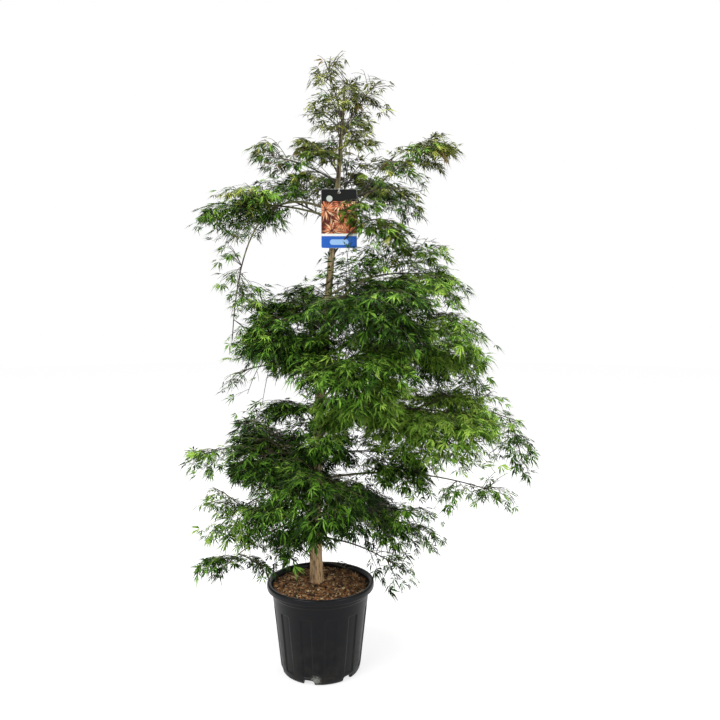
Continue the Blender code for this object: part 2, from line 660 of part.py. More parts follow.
class Growth:
    """A mass as it grows: its pieces, and what its own leaves keep clear of."""

    def __init__(self, mass, number):
        self.mass = mass
        self.rng = np.random.default_rng(SEED + number)
        self.obstacles = Obstacles(mass.name)
        self.pieces = []
        self.taken = np.empty((0, 3))
        self.leaves = 0

    def take(self, points):
        """Marks points as filled."""
        self.taken = np.vstack([self.taken, points])

    def try_leaf(self, root, direction):
        """A leaf near a direction that keeps to the mass's space, or None."""
        for attempt in range(LEAF_ATTEMPTS):
            turn = self.rng.normal(0, 0.25 + 0.04 * attempt)
            spun = np.array(
                (
                    direction[0] * math.cos(turn) - direction[1] * math.sin(turn),
                    direction[0] * math.sin(turn) + direction[1] * math.cos(turn),
                    0.0,
                )
            )
            forward = unit(spun) + (0.0, 0.0, self.rng.uniform(*LEAF_TILT))
            length = self.mass.leaf * (1.0 - 0.3 * attempt / LEAF_ATTEMPTS)
            leaf = Leaf(root, forward, length)
            body = np.vstack([leaf.edge, leaf.middles, leaf.samples])
            far = leaf.samples[np.linalg.norm(leaf.samples - root, axis=1) > 0.22 * length]
            if (
                in_reach(body, self.mass, LEAF_HANG)
                and in_own_space(body, self.mass)
                and apart(far, self.taken, OWN_CLEARANCE)
                and self.obstacles.clear(leaf.samples, LEAF_CLEARANCE)
            ):
                self.take(leaf.samples)
                self.leaves += 1
                return leaf
        return None

    def add_shoot(self, path, radii, first=None):
        """A stem or twig, with a leaf at its end if one fits. It opens into a leaf that goes straight on."""
        heading = unit(path[-1] - path[-2])
        leaf = self.try_leaf(path[-1], heading)
        if leaf and leaf.forward @ heading > STRAIGHT_ON:
            shoot = tube(path, radii, 3, first=first, last=leaf.forward)
            self.pieces.append(leaf.on_shoot(shoot, radii[-1]))
        else:
            path = np.vstack([path[:-1], path[-1] + LEAF_ROOT_DEPTH * heading])
            self.pieces.append(tube(path, radii, 3, first=first))
            if leaf:
                self.pieces.append(leaf.alone())


def grow_mass(mass, number):
    """The stem, twigs and leaves of a mass, as overlapping pieces, with the number of twigs and of leaves."""
    growth = Growth(mass, number)
    stem, stem_radii = stem_path(mass)
    shares = np.linspace(limb_split(mass), 1.0, 41)
    fine_stem = bezier(*limb_curve(mass), shares)
    growth.take(fine_stem)
    growth.add_shoot(stem, stem_radii, split_heading(mass))
    twigs = []
    for target in twig_targets(mass, growth.rng):
        nearest = np.argmin(np.linalg.norm(fine_stem - target, axis=1))
        at = int(np.clip(nearest - 8, 6, 34))
        base = fine_stem[at]
        for pull in TWIG_PULLS:
            tip = base + pull * (target - base)
            length = np.linalg.norm(tip - base)
            middle = (base + tip) / 2 + (0.0, 0.0, TWIG_ARCH * length)
            samples = bezier(base, middle, tip, np.linspace(0.0, 1.0, 17))
            if (
                length > SHORTEST_TWIG
                and in_reach(samples, mass)
                and in_own_space(samples[2:], mass)
                and growth.obstacles.clear(samples[2:], TWIG_CLEARANCE)
                and apart(samples[5:], growth.taken, OWN_CLEARANCE)
            ):
                path = bezier(base, middle, tip, np.array((0.0, 0.5, 1.0)))
                start_radius = max(0.75 * limb_radius(mass, shares[at]), STEM_END_RADIUS)
                growth.take(samples)
                growth.add_shoot(path, np.linspace(start_radius, TWIG_END_RADIUS, 3))
                twigs.append(path)
                break
    for root, direction in leaf_places(stem, twigs):
        leaf = growth.try_leaf(root, direction)
        if leaf:
            growth.pieces.append(leaf.alone())
    return growth.pieces, len(twigs), growth.leaves


# ---------------------------------------------------------------------------------- tag


def make_tag(card_finish, tie_finish):
    """Makes a hanging card with round corners and a hole, and the tie that holds it to the trunk."""
    centre_z = TAG_TOP - TAG_HEIGHT / 2
    hole_z = TAG_TOP - TAG_HOLE_DROP
    stem = trunk_point(hole_z)
    card_y = stem[1] - trunk_radius(hole_z) - TAG_STANDOFF
    outline = []
    for corner_x, corner_z, first in ((1, 1, 0), (-1, 1, 90), (-1, -1, 180), (1, -1, 270)):
        for step in range(4):
            turn = math.radians(first + 30 * step)
            outline.append(
                (
                    TAG_X + corner_x * (TAG_WIDTH / 2 - TAG_CORNER) + TAG_CORNER * math.cos(turn),
                    centre_z + corner_z * (TAG_HEIGHT / 2 - TAG_CORNER) + TAG_CORNER * math.sin(turn),
                )
            )
    count = len(outline)
    points = [(x, card_y, z) for x, z in outline] + [(x, card_y - TAG_THICKNESS, z) for x, z in outline]
    faces = sheet_of(count, 2)
    faces.append(tuple(range(count)))
    faces.append(tuple(range(count, 2 * count))[::-1])
    card = object_of("tag_card", (points, faces), card_finish)
    bpy.ops.mesh.primitive_cylinder_add(vertices=12, radius=TAG_HOLE_RADIUS, depth=TAG_STANDOFF)
    punch = bpy.context.object
    punch.name = "tag_punch"
    punch.rotation_euler = (math.pi / 2, 0.0, 0.0)
    punch.location = (TAG_X, card_y, hole_z)
    punch.hide_render = True
    punch.display_type = "WIRE"
    cut = card.modifiers.new("hole", "BOOLEAN")
    cut.operation = "DIFFERENCE"
    cut.solver = "EXACT"
    cut.object = punch

    radius = (trunk_radius(hole_z - TIE_RADIUS) + TIE_RADIUS + GAP) / math.cos(math.radians(TIE_STEP / 2))
    route = []
    for degrees in range(-2 * TIE_STEP, 181 + 2 * TIE_STEP, TIE_STEP):
        turn = math.radians(degrees)
        route.append((stem[0] + radius * math.cos(turn), stem[1] + radius * math.sin(turn), hole_z))
    front = card_y - TAG_THICKNESS - TIE_RADIUS - GAP
    back = card_y + TIE_RADIUS + GAP
    hole_top = hole_z + TAG_HOLE_RADIUS - TIE_RADIUS - 2 * GAP
    over = TAG_TOP + TIE_RADIUS + 2 * GAP
    route.append((TAG_X - TIE_SLACK, back + TIE_SLACK / 2, hole_top))
    route.append((TAG_X, back, hole_top))
    route.append((TAG_X, front, hole_top))
    route.append((TAG_X, front, over))
    route.append((TAG_X, back, over))
    route.append((TAG_X + TIE_SLACK, back + TIE_SLACK / 2, hole_z + TIE_SLACK))
    curve = bpy.data.curves.new("tag_tie", "CURVE")
    curve.dimensions = "3D"
    curve.bevel_depth = TIE_RADIUS
    curve.bevel_resolution = 1
    line = curve.splines.new("POLY")
    line.points.add(len(route) - 1)
    for point, spot in zip(line.points, route):
        point.co = (*spot, 1.0)
    line.use_cyclic_u = True
    tie = bpy.data.objects.new("tag_tie", curve)
    curve.materials.append(tie_finish)
    bpy.context.scene.collection.objects.link(tie)


# ---------------------------------------------------------------------------------- build


def main():
    """Clears the scene and builds the plant."""
    for obj in list(bpy.data.objects):
        bpy.data.objects.remove(obj)
    bark = material("bark", (0.30, 0.22, 0.14), 0.85)
    foliage = material("foliage", (0.06, 0.17, 0.025), 0.6)
    plastic = material("pot_plastic", (0.022, 0.024, 0.027), 0.45)
    mulch = material("mulch", (0.20, 0.11, 0.05), 0.95)
    card = material("card", (0.75, 0.36, 0.18), 0.4)
    tie = material("tie", (0.75, 0.77, 0.76), 0.4)

    make_pot(plastic)
    make_soil(mulch)
    trunk = object_of("trunk", trunk_shape(), bark)
    trunk.data.shade_smooth()
    trunk.data.set_sharp_from_angle(angle=math.radians(40))
    cutter = object_of("trunk_seat", trunk_shape(GAP))
    cutter.hide_render = True
    cutter.display_type = "WIRE"
    make_tag(card, tie)
    for number, mass in enumerate(MASSES):
        if mass.bough:
            path, radii = bough_path(mass)
            shape = tube(path, radii, BOUGH_SIDES, last=split_heading(mass))
            join_and_cut("bough_" + mass.name, [shape], bark, cutter)
        pieces, twigs, leaves = grow_mass(mass, number)
        join_and_cut("foliage_" + mass.name, pieces, foliage, cutter)
        print(mass.name, "twigs", twigs, "leaves", leaves)


main()
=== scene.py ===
"""The looks of a laceleaf Japanese maple in a nursery pot, for Blender 4.5.

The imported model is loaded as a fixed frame, and each piece is dressed in its place. Units are metres, +Z is
up, and the origin is the middle of the pot's flat underside. Every mass of foliage grows from its limb by one
seeded rule: the limb sends out twigs by the golden angle, twigs carry sprays on both sides, and sprays carry
leaves in pairs. Leaves are cut into seven toothed lobes, and each lobe has one plain colour, near its leaf's.
"""

import logging
import math
from dataclasses import dataclass, field, fields
from enum import Enum
from typing import Iterator, Sequence

import bpy
import numpy as np
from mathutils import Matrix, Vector, noise

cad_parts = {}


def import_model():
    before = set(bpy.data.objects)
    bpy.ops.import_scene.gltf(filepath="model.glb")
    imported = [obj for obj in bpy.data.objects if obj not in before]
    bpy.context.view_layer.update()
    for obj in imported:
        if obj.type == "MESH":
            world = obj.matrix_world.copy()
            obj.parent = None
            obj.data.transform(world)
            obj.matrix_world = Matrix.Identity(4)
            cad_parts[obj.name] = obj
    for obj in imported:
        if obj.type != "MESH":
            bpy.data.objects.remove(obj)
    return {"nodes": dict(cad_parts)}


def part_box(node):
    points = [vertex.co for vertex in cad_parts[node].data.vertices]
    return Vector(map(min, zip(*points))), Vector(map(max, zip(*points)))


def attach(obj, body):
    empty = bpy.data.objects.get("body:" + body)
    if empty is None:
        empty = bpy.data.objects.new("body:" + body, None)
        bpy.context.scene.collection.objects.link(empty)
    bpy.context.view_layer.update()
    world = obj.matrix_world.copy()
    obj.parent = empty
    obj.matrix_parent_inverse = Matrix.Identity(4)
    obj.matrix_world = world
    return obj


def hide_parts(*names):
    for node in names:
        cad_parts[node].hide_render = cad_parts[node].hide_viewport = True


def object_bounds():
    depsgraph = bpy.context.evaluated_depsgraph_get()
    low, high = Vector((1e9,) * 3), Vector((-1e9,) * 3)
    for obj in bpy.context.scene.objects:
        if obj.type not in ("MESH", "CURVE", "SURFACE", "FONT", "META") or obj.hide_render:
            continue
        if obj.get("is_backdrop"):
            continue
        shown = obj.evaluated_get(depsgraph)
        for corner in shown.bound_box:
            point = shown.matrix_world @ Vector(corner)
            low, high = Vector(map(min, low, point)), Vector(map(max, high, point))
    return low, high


LOG = logging.getLogger("maple")
BODY = "root"
MM = 0.001
UP = np.array((0.0, 0.0, 1.0))
GOLDEN_ANGLE = math.radians(137.5)
SOFT_SHARE = 0.010  # how far leaves may stand out of the plain solids' box, as a share of each side

Array = np.ndarray
Chance = np.random.Generator
Colour = tuple[float, float, float, float]
Socket = bpy.types.NodeSocket
Shape = tuple[Array, Array]  # points, and triangles as rows of point numbers


# ------------------------------------------------------------------------------------------ materials


def linear(colour: str) -> Colour:
    """Turns an sRGB colour, #rrggbb, to linear light with an alpha of one.

    Args:
        colour: The colour as #rrggbb.

    Returns:
        Its linear red, green and blue, and an alpha of one.
    """
    channels = [int(colour[place : place + 2], 16) / 255 for place in (1, 3, 5)]
    red, green, blue = (c / 12.92 if c <= 0.04045 else ((c + 0.055) / 1.055) ** 2.4 for c in channels)
    return red, green, blue, 1.0


class Finish:
    """A new material, whose nodes are added round its Principled shader one by one."""

    labels = {"ior": "IOR", "specular_ior_level": "Specular IOR Level"}

    def __init__(self, name: str, colour: str, roughness: float, **sockets: float) -> None:
        """Makes the material.

        Args:
            name: The material's name.
            colour: Its base colour as #rrggbb.
            roughness: Its roughness.
            sockets: Other plain values, with the socket's name in lower case and _ for each space.
        """
        self.material = bpy.data.materials.new(name)
        self.material.use_nodes = True
        self.material.diffuse_color = linear(colour)
        self.tree = self.material.node_tree
        self.inputs = self.tree.nodes["Principled BSDF"].inputs
        self.inputs["Base Color"].default_value = linear(colour)
        self.inputs["Roughness"].default_value = roughness
        for socket, value in sockets.items():
            self.inputs[self.labels.get(socket, socket.replace("_", " ").title())].default_value = value

    def link(self, socket: str, source: Socket) -> None:
        """Lets another node's output set one of the shader's sockets."""
        self.tree.links.new(source, self.inputs[socket])

    def node(self, kind: str, inputs: dict, output: int | str = 0, **settings: str) -> Socket:
        """Adds a node.

        Args:
            kind: The node's type, without its first word.
            inputs: What each input socket holds, by name or number: a value, or another node's output.
            output: The name or number of the output to return.
            settings: The node's own properties.

        Returns:
            The output of the new node.
        """
        node = self.tree.nodes.new("ShaderNode" + kind)
        for name, value in settings.items():
            setattr(node, name, value)
        for socket, value in inputs.items():
            if isinstance(value, Socket):
                self.tree.links.new(value, node.inputs[socket])
            else:
                node.inputs[socket].default_value = value
        return node.outputs[output]

    def place(self) -> Socket:
        """The place on the piece, in metres."""
        return self.node("TexCoord", {}, "Object")

    def height(self, place: Socket) -> Socket:
        """How high a place is."""
        return self.node("SeparateXYZ", {0: place}, "Z")

    def stretched(self, place: Socket, scale: tuple[float, float, float], slant: float = 0.0) -> Socket:
        """A place in a space that is scaled, and turned about the y axis."""
        return self.node("Mapping", {0: place, "Rotation": (0.0, slant, 0.0), "Scale": scale})

    def noise(self, place: Socket, size_mm: float, detail: float = 2.0, **inputs: float) -> Socket:
        """Uneven noise with features of a size in millimetres."""
        inputs |= {"Vector": place, "Scale": 1.0 / (size_mm * MM), "Detail": detail}
        return self.node("TexNoise", inputs)

    def ramp(self, value: Socket, low: float, high: float, first: float = 0.0, last: float = 1.0) -> Socket:
        """A value's way from low to high, as one from first to last."""
        return self.node("MapRange", {0: value, 1: low, 2: high, 3: first, 4: last})

    def times(self, one: Socket, other: Socket) -> Socket:
        """Two values multiplied."""
        return self.node("Math", {0: one, 1: other}, operation="MULTIPLY")

    def mixed(self, share: Socket, first: Socket | str, second: str) -> Socket:
        """Two colours mixed."""
        first = linear(first) if isinstance(first, str) else first
        return self.node("Mix", {0: share, 6: first, 7: linear(second)}, 2, data_type="RGBA")

    def bump(self, height: Socket, strength: float, distance: float) -> None:
        """Bumps the surface."""
        self.link("Normal", self.node("Bump", {"Height": height, "Strength": strength, "Distance": distance}))


@dataclass(frozen=True)
class MouldedPolypropylene:
    """Black polypropylene, blow-moulded: a faint orange-peel skin with a soft gloss, dusty towards the ground
    and scuffed by one notch."""

    resin: str = "#07080b"
    dust: str = "#332e27"
    scuff: str = "#7d7d77"
    roughness: float = 0.34
    dusty_roughness: float = 0.72
    skin_mm: float = 2.2  # coarser than the real skin, so that it shows
    blotch_mm: float = 38.0
    dust_top: float = 0.20
    scuff_at: tuple[float, float, float] = (-0.010, -0.150, 0.022)
    scuff_radius: float = 0.050
    scratch_mm: float = 9.0
    scratch_slant: float = math.radians(50)

    def material(self) -> bpy.types.Material:
        """Makes the material.

        Returns:
            The material.
        """
        sockets = {"ior": 1.49, "specular_ior_level": 0.16}
        finish = Finish("moulded_polypropylene", self.resin, self.roughness, **sockets)
        place = finish.place()
        low = finish.ramp(finish.height(place), 0.0, self.dust_top, 0.55, 0.05)
        blotch = finish.noise(place, self.blotch_mm, 6.0, Roughness=0.65)
        dusting = finish.times(low, finish.ramp(blotch, 0.42, 0.75))
        dusty = finish.mixed(dusting, self.resin, self.dust)
        away = finish.node("VectorMath", {0: place, 1: self.scuff_at}, "Value", operation="DISTANCE")
        near = finish.ramp(away, 0.0, self.scuff_radius, 1.0, 0.0)
        slanted = finish.stretched(place, (1.0, 1.0, 5.0), self.scratch_slant)
        scratched = finish.times(near, finish.noise(slanted, self.scratch_mm, 4.0))
        finish.link("Base Color", finish.mixed(finish.ramp(scratched, 0.29, 0.54), dusty, self.scuff))
        finish.link("Roughness", finish.ramp(dusting, 0.0, 0.4, self.roughness, self.dusty_roughness))
        finish.bump(finish.noise(place, self.skin_mm), 0.10, 0.0006)
        return finish.material


@dataclass(frozen=True)
class MapleBark:
    """Young maple bark, dry and matt: grey-brown with shallow lengthwise furrows, flaking orange near the
    ground and tinged green above. The furrows are partly the bark's own darker colour, partly painted shade;
    on the trunk the tinge is also darker than the ground, a painted shade where the trunk is inside the
    crown."""

    name: str
    ground: str
    # dark furrow colour, laid where the bump sinks in: partly the bark's own colour, partly painted shade
    furrow: str
    flake: str
    # the green tinge; on the trunk it is darker than the ground, and there it is painted shade too
    tinge_and_shade: str
    flake_foot: float = 0.33
    flake_top: float = 0.85  # height where the flaking has thinned out
    tinge_from: float = 0.80  # height where the green tinge, with its painted shade on the trunk, begins
    tinge_rise: float = 0.5
    furrow_mm: float = 5.0
    blotch_mm: float = 16.0
    stretch: float = 0.12
    roughness: float = 0.82

    def material(self) -> bpy.types.Material:
        """Makes the material.

        Returns:
            The material.
        """
        finish = Finish(self.name, self.ground, self.roughness, ior=1.45)
        place = finish.place()
        height = finish.height(place)
        long_way = finish.stretched(place, (1.0, 1.0, self.stretch))
        streak = finish.noise(long_way, self.furrow_mm, 5.0, Roughness=0.62)
        blotch = finish.noise(long_way, self.blotch_mm, 4.0, Distortion=0.6)
        # green tinge and painted shade: the tinge rises with height, and on the trunk it darkens the bark
        # inside the crown
        high = finish.ramp(height, self.tinge_from, self.tinge_from + self.tinge_rise, 0.0, 0.95)
        green = finish.times(high, finish.ramp(blotch, 0.30, 0.55))
        foot = finish.ramp(height, self.flake_foot, self.flake_top, 1.0, 0.25)
        flakes = finish.times(foot, finish.ramp(blotch, 0.62, 0.47))
        flaked = finish.mixed(flakes, finish.mixed(green, self.ground, self.tinge_and_shade), self.flake)
        # painted shade in part: the furrow colour goes where the streak noise, which is also the bump, is low
        deep = finish.ramp(streak, 0.50, 0.36, 0.0, 0.90)
        finish.link("Base Color", finish.mixed(deep, flaked, self.furrow))
        finish.bump(streak, 0.45, 0.0015)
        return finish.material


@dataclass(frozen=True)
class PottingMix:
    """Damp potting mix: crumbs of dark mix between the chips."""

    ground: str = "#2a1e12"
    dark: str = "#1d140c"
    light: str = "#5d4329"
    crumb_mm: float = 6.0
    roughness: float = 0.95

    def material(self) -> bpy.types.Material:
        """Makes the material.

        Returns:
            The material.
        """
        finish = Finish("damp_potting_mix", self.ground, self.roughness, ior=1.45)
        crumbs = finish.noise(finish.place(), self.crumb_mm, 6.0, Roughness=0.7)
        finish.link("Base Color", finish.mixed(finish.ramp(crumbs, 0.40, 0.66), self.dark, self.light))
        finish.bump(crumbs, 0.9, 0.003)
        return finish.material


@dataclass(frozen=True)
class FineGrained:
    """A pale smooth material with a slight grain: coated card, or the nylon of a tie."""

    name: str
    colour: str
    roughness: float
    grain_mm: float
    detail: float
    strength: float
    ior: float = 1.5
    coat: float = 0.0

    def material(self) -> bpy.types.Material:
        """Makes the material.

        Returns:
            The material.
        """
        finish = Finish(self.name, self.colour, self.roughness, ior=self.ior, coat_weight=self.coat)
        finish.bump(finish.noise(finish.place(), self.grain_mm, self.detail), self.strength, 0.0004)
        return finish.material


class LeafColour(Enum):
    """Leaf colours from shaded to lightest, then the sunburnt ones. Each has its roughness. The dark ones are
    painted shade, the light ones partly painted light on lit leaves and partly fresh growth.
    """

    SHADED = "#0a1503", 0.65
    DEEP = "#162c07", 0.65
    GREEN = "#2a4811", 0.65
    MIDDLE = "#45691b", 0.65
    FRESH = "#5f822d", 0.65
    LIME = "#7b973b", 0.65
    OLIVE_SHADED = "#2f3611", 0.65
    OLIVE = "#535a1e", 0.65
    OLIVE_FRESH = "#7b8036", 0.65
    BRONZE = "#5f4c22", 0.65


class TwigColour(Enum):
    """Twig colours: old wood is brown, and this year's shoots are green and smoother."""

    OLD = "#30271a", 0.60
    YOUNG = "#3e391f", 0.55
    SHOOT = "#4b5823", 0.50


class ChipColour(Enum):
    """Colours of shredded conifer bark: weathered tan to wet dark brown. Torn wood fibre is fully matt."""

    TAN = "#94704a", 0.95
    RUST = "#7a4f2a", 0.95
    BROWN = "#573e24", 0.95
    UMBER = "#3a2814", 0.95
    DARK = "#20160c", 0.95
    PALE = "#b8a27c", 0.95


class Ink(Enum):
    """Printing inks, as smooth as the coated card under them."""

    BLACK = "#0a0d0c", 0.35
    WHITE = "#dcdcd6", 0.40
    BLUE = "#2357ab", 0.35
    PALE_BLUE = "#8db0d8", 0.35
    MAROON = "#4d2118", 0.35
    RED = "#a84a34", 0.35
    ORANGE = "#c9794e", 0.35
    PEACH = "#e0ac84", 0.35
    CREAM = "#ecd8ae", 0.35
    GREY = "#a9b1aa", 0.35


@dataclass(frozen=True)
class PlainSurface:
    """What a kind of small thing is made of: one smooth surface, in each of its plain colours."""

    kind: str
    colours: type[Enum]
    sheen: float = 0.5
    ior: float = 1.45

    def materials(self) -> list[bpy.types.Material]:
        """Makes the material of each colour, in the Enum's order."""
        sockets = {"ior": self.ior, "specular_ior_level": self.sheen}
        return [Finish(f"{self.kind}_{c.name.lower()}", *c.value, **sockets).material for c in self.colours]


LEAF = PlainSurface("leaf", LeafColour, sheen=0.08)  # thin and waxy
TWIG = PlainSurface("twig", TwigColour)
CHIP = PlainSurface("chip", ChipColour)
INK = PlainSurface("ink", Ink, sheen=0.2)


# ------------------------------------------------------------------------------------------ meshes


def unit(vectors: Array) -> Array:
    """Vectors at length one."""
    return vectors / np.linalg.norm(vectors, axis=-1, keepdims=True)


def once_round(count: int) -> Array:
    """Even turns, once round."""
    return 2 * math.pi * np.arange(count) / count


def direction(turn: Array | float) -> Array:
    """The direction of each turn in a plane."""
    return np.stack([np.cos(turn), np.sin(turn)], axis=-1)


def level_ring(turn: Array) -> Array:
    """The level direction of each turn in space."""
    return np.stack([np.cos(turn), np.sin(turn), 0 * turn], axis=-1)


def bezier(start: Array, middle: Array, end: Array, share: Array | float) -> Array:
    """Points at shares of the way along a curve with one control point."""
    share = np.atleast_1d(share)[:, None]
    return (1 - share) ** 2 * start + 2 * share * (1 - share) * middle + share**2 * end


def length_of(path: Array) -> float:
    """How long a path is."""
    return np.sum(np.linalg.norm(np.diff(path, axis=0), axis=1))


def sideways(forward: Array) -> Array:
    """The level direction across a direction."""
    return unit(np.cross(forward, UP) + 1e-6)


def smooth_step(value: Array | float) -> Array | float:
    """A soft rise from 0 to 1."""
    value = np.clip(value, 0.0, 1.0)
    return value * value * (3 - 2 * value)


def around(path: Array, radius: Array, outward: Array) -> Array:
    """Rings of points round a path, each point at its radius."""
    return path[:, None] + radius[..., None] * outward


def through_rings(rings: Array, end: Array) -> Shape:
    """Makes a surface through closed rings of points.

    Args:
        rings: The rings, each with as many points.
        end: The point that closes the last ring.

    Returns:
        Its points and triangles.
    """
    columns = rings.shape[1]
    total = len(rings) * columns
    ring, column = np.divmod(np.arange(total - columns), columns)
    beside = (column + 1) % columns
    low, high = ring * columns, (ring + 1) * columns
    quads = np.stack([low + column, low + beside, high + beside, high + column], axis=1)
    last = np.arange(total - columns, total)
    closing = np.stack([last, np.roll(last, -1), np.full(columns, total)], axis=1)
    faces = np.concatenate([quads[:, [0, 1, 2]], quads[:, [0, 2, 3]], closing])
    return np.vstack([rings.reshape(-1, 3), end]), faces


def rings_along(path: Array, sides: int) -> tuple[Array, Array]:
    """Directions for a tube's rings.

    Args:
        path: The points that the tube follows.
        sides: How many points each ring has.

    Returns:
        The outward direction of each point of each ring, and the path's direction at each ring.
    """
    ahead = unit(np.gradient(path, axis=0))
    side = np.array((0.05, 0.03, 1.0)) if abs(ahead[0][2]) < 0.9 else np.array((1.0, 0.03, 0.05))
    turns = once_round(sides)
    outward = np.empty((len(path), sides, 3))
    for ring, forward in enumerate(ahead):
        side = side - forward * (side @ forward)
        side = side / math.sqrt(side @ side)
        across = np.cross(forward, side)
        outward[ring] = np.cos(turns)[:, None] * side + np.sin(turns)[:, None] * across
    return outward, ahead


def tube(path: Array, radii: Array, sides: int) -> Shape:
    """Makes a tube with a point at its far end.

    Args:
        path: The points that it follows.
        radii: Its radius at each point.
        sides: How many sides it has.

    Returns:
        Its points and triangles.
    """
    outward, ahead = rings_along(path, sides)
    return through_rings(around(path, radii[:, None], outward), path[-1] + ahead[-1] * radii[-1])


def joined(shapes: Sequence[Shape]) -> Shape:
    """Several shapes as one.

    Args:
        shapes: The shapes.

    Returns:
        Their points and triangles in one.
    """
    starts = np.cumsum([0, *(len(points) for points, _ in shapes[:-1])])
    faces = [faces + start for (_, faces), start in zip(shapes, starts)]
    return np.concatenate([points for points, _ in shapes]), np.concatenate(faces)


def make_piece(
    name: str,
    shape: Shape,
    materials: Sequence[bpy.types.Material],
    slots: Array | None = None,
    smooth: bool = True,
) -> bpy.types.Object:
    """Makes a mesh object that rides on the plant's one body.

    Args:
        name: The piece's name.
        shape: Its points and triangles.
        materials: Its materials.
        slots: The material's number for each triangle, or None for the first.
        smooth: Whether its triangles are shaded as one surface.

    Returns:
        The object.
    """
    points, faces = shape
    mesh = bpy.data.meshes.new(name)
    mesh.vertices.add(len(points))
    mesh.vertices.foreach_set("co", np.asarray(points, np.float32).ravel())
    mesh.loops.add(faces.size)
    mesh.loops.foreach_set("vertex_index", np.asarray(faces, np.int32).ravel())
    mesh.polygons.add(len(faces))
    mesh.polygons.foreach_set("loop_start", np.arange(0, faces.size, 3, dtype=np.int32))
    for material in materials:
        mesh.materials.append(material)
    if slots is not None:
        mesh.polygons.foreach_set("material_index", np.asarray(slots, np.int32))
    mesh.polygons.foreach_set("use_smooth", np.full(len(faces), smooth))
    mesh.update(calc_edges=True)
    mesh.validate()
    piece = bpy.data.objects.new(name, mesh)
    bpy.context.scene.collection.objects.link(piece)
    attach(piece, BODY)
    LOG.info("%s: %d triangles", name, len(faces))
    return piece


# ------------------------------------------------------------------------------------------ pot


@dataclass
class NurseryPot:
    """A 35 litre container: rolled lip, stepped collar, pressed panels and drain notches in the foot."""

    columns: int = 360
    lip_radius: float = 0.2030
    height: float = 0.343
    collar_radius: float = 0.1845
    foot_radius: float = 0.150
    wall: float = 0.003
    floor: float = 0.0185  # height of the floor's underside
    lip_foot: float = 0.320
    band_foot: float = 0.303  # the collar's upper band stands proud down to here
    band_depth: float = 0.0022
    panels: int = 12
    panel_half_width: float = 0.0195
    panel_depth: float = 0.0034
    panel_top: float = 0.257
    panel_foot: float = 0.030
    panel_corner: float = 0.005
    panel_edge: float = 0.0035  # how far the wall takes to go in
    notches: int = 6
    notch_half_width: float = 0.023
    notch_height: float = 0.016
    notch_reach: float = 0.026  # how high the wall is drawn up by the notches
    turn: float = math.radians(15)
    finish: MouldedPolypropylene = field(default_factory=MouldedPolypropylene)

    def wall_radius(self, height: Array | float) -> Array | float:
        """The outer radius of the tapering wall."""
        return self.foot_radius + (self.collar_radius - self.foot_radius) * height / self.lip_foot

    def off_centre(self, turn: Array, count: int, radius: Array | float) -> Array:
        """How far each column stands, along the wall, from the middle of the nearest of count marks."""
        spacing = 2 * math.pi / count
        return np.abs((turn - self.turn + spacing / 2) % spacing - spacing / 2) * radius

    def pressed(self, turn: Array, height: float) -> Array:
        """How deep the wall is pressed in, for a ring of columns at a height.

        Args:
            turn: Each column's turn about the pot's axis.
            height: The ring's height.

        Returns:
            How far in each column is.
        """
        across = self.off_centre(turn, self.panels, self.wall_radius(height)) - self.panel_half_width
        along = max(height - self.panel_top, self.panel_foot - height)
        corner = self.panel_corner
        outside = np.hypot(np.maximum(across + corner, 0), max(along + corner, 0)) - corner
        inside = np.minimum(np.maximum(across, along), 0)
        return self.panel_depth * smooth_step(-(outside + inside) / self.panel_edge + 0.5)

    def profile(self) -> list[tuple[float, float]]:
        """Radius and height of each ring: over the lip, down the wall, and up under the floor.

        Returns:
            The radius and height of each ring.
        """
        lip, top = self.lip_radius, self.height
        inner = self.collar_radius - self.wall
        rings = [
            (inner, 0.318), (inner + 0.002, 0.330), (inner + 0.004, 0.336),
            (inner + 0.0075, top - 0.0022), (inner + 0.011, top - 0.0003),
            (lip - 0.0050, top), (lip - 0.0020, top - 0.0012), (lip - 0.0004, top - 0.0040),
            (lip, top - 0.0080),
            (lip - 0.0002, self.lip_foot + 0.0050), (lip - 0.0012, self.lip_foot + 0.0016),
            (lip - 0.0032, self.lip_foot), (lip - 0.0100, self.lip_foot - 0.0002),
        ]
        band = self.wall_radius(self.lip_foot) + self.band_depth
        rings += [(band + 0.0006, self.lip_foot - 0.0012), (band, self.lip_foot - 0.0040)]
        rings += [(band - 0.0003, self.band_foot + 0.0020), (band - 0.0011, self.band_foot)]
        rings += [(self.wall_radius(self.band_foot) + 0.0003, self.band_foot - 0.0012)]
        heights = np.concatenate(
            [
                np.linspace(self.band_foot - 0.004, self.panel_top + 0.006, 6),
                np.linspace(self.panel_top + 0.004, self.panel_top - 0.008, 9),
                np.linspace(self.panel_top - 0.020, self.panel_foot + 0.020, 12),
                np.linspace(self.panel_foot + 0.008, self.panel_foot - 0.004, 9),
            ]
        )
        rings += [(self.wall_radius(height), height) for height in heights]
        curve = ((0.0004, 0.018), (0.0016, 0.010), (0.0044, 0.004))  # how far in from the wall, and height
        rings += [(self.wall_radius(height) - inward, height) for inward, height in curve]
        under = ((0.0085, 0.0008), (0.0110, 0.0), (0.0150, 0.0), (0.0165, 0.0012), (0.0170, 0.0180))
        rings += [(self.foot_radius - inward, height) for inward, height in under]
        return rings

    def build(self) -> None:
        """Makes the pot."""
        turn = once_round(self.columns)
        from_notch = self.off_centre(turn, self.notches, self.foot_radius) / self.notch_half_width
        arch = self.notch_height * np.sqrt(np.clip(1 - from_notch**4, 0.0, 1.0))
        rings = []
        for radius, height in self.profile():
            level = np.full(self.columns, height)
            if height < self.notch_reach:
                level = arch + (self.notch_reach - arch) * height / self.notch_reach
            reach = radius - self.pressed(turn, height)
            rings.append(reach[:, None] * level_ring(turn) + level[:, None] * UP)
        points, faces = through_rings(np.array(rings), self.floor * UP)
        piece = make_piece("nursery_pot", (points, faces[:, ::-1]), [self.finish.material()])
        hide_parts("pot")


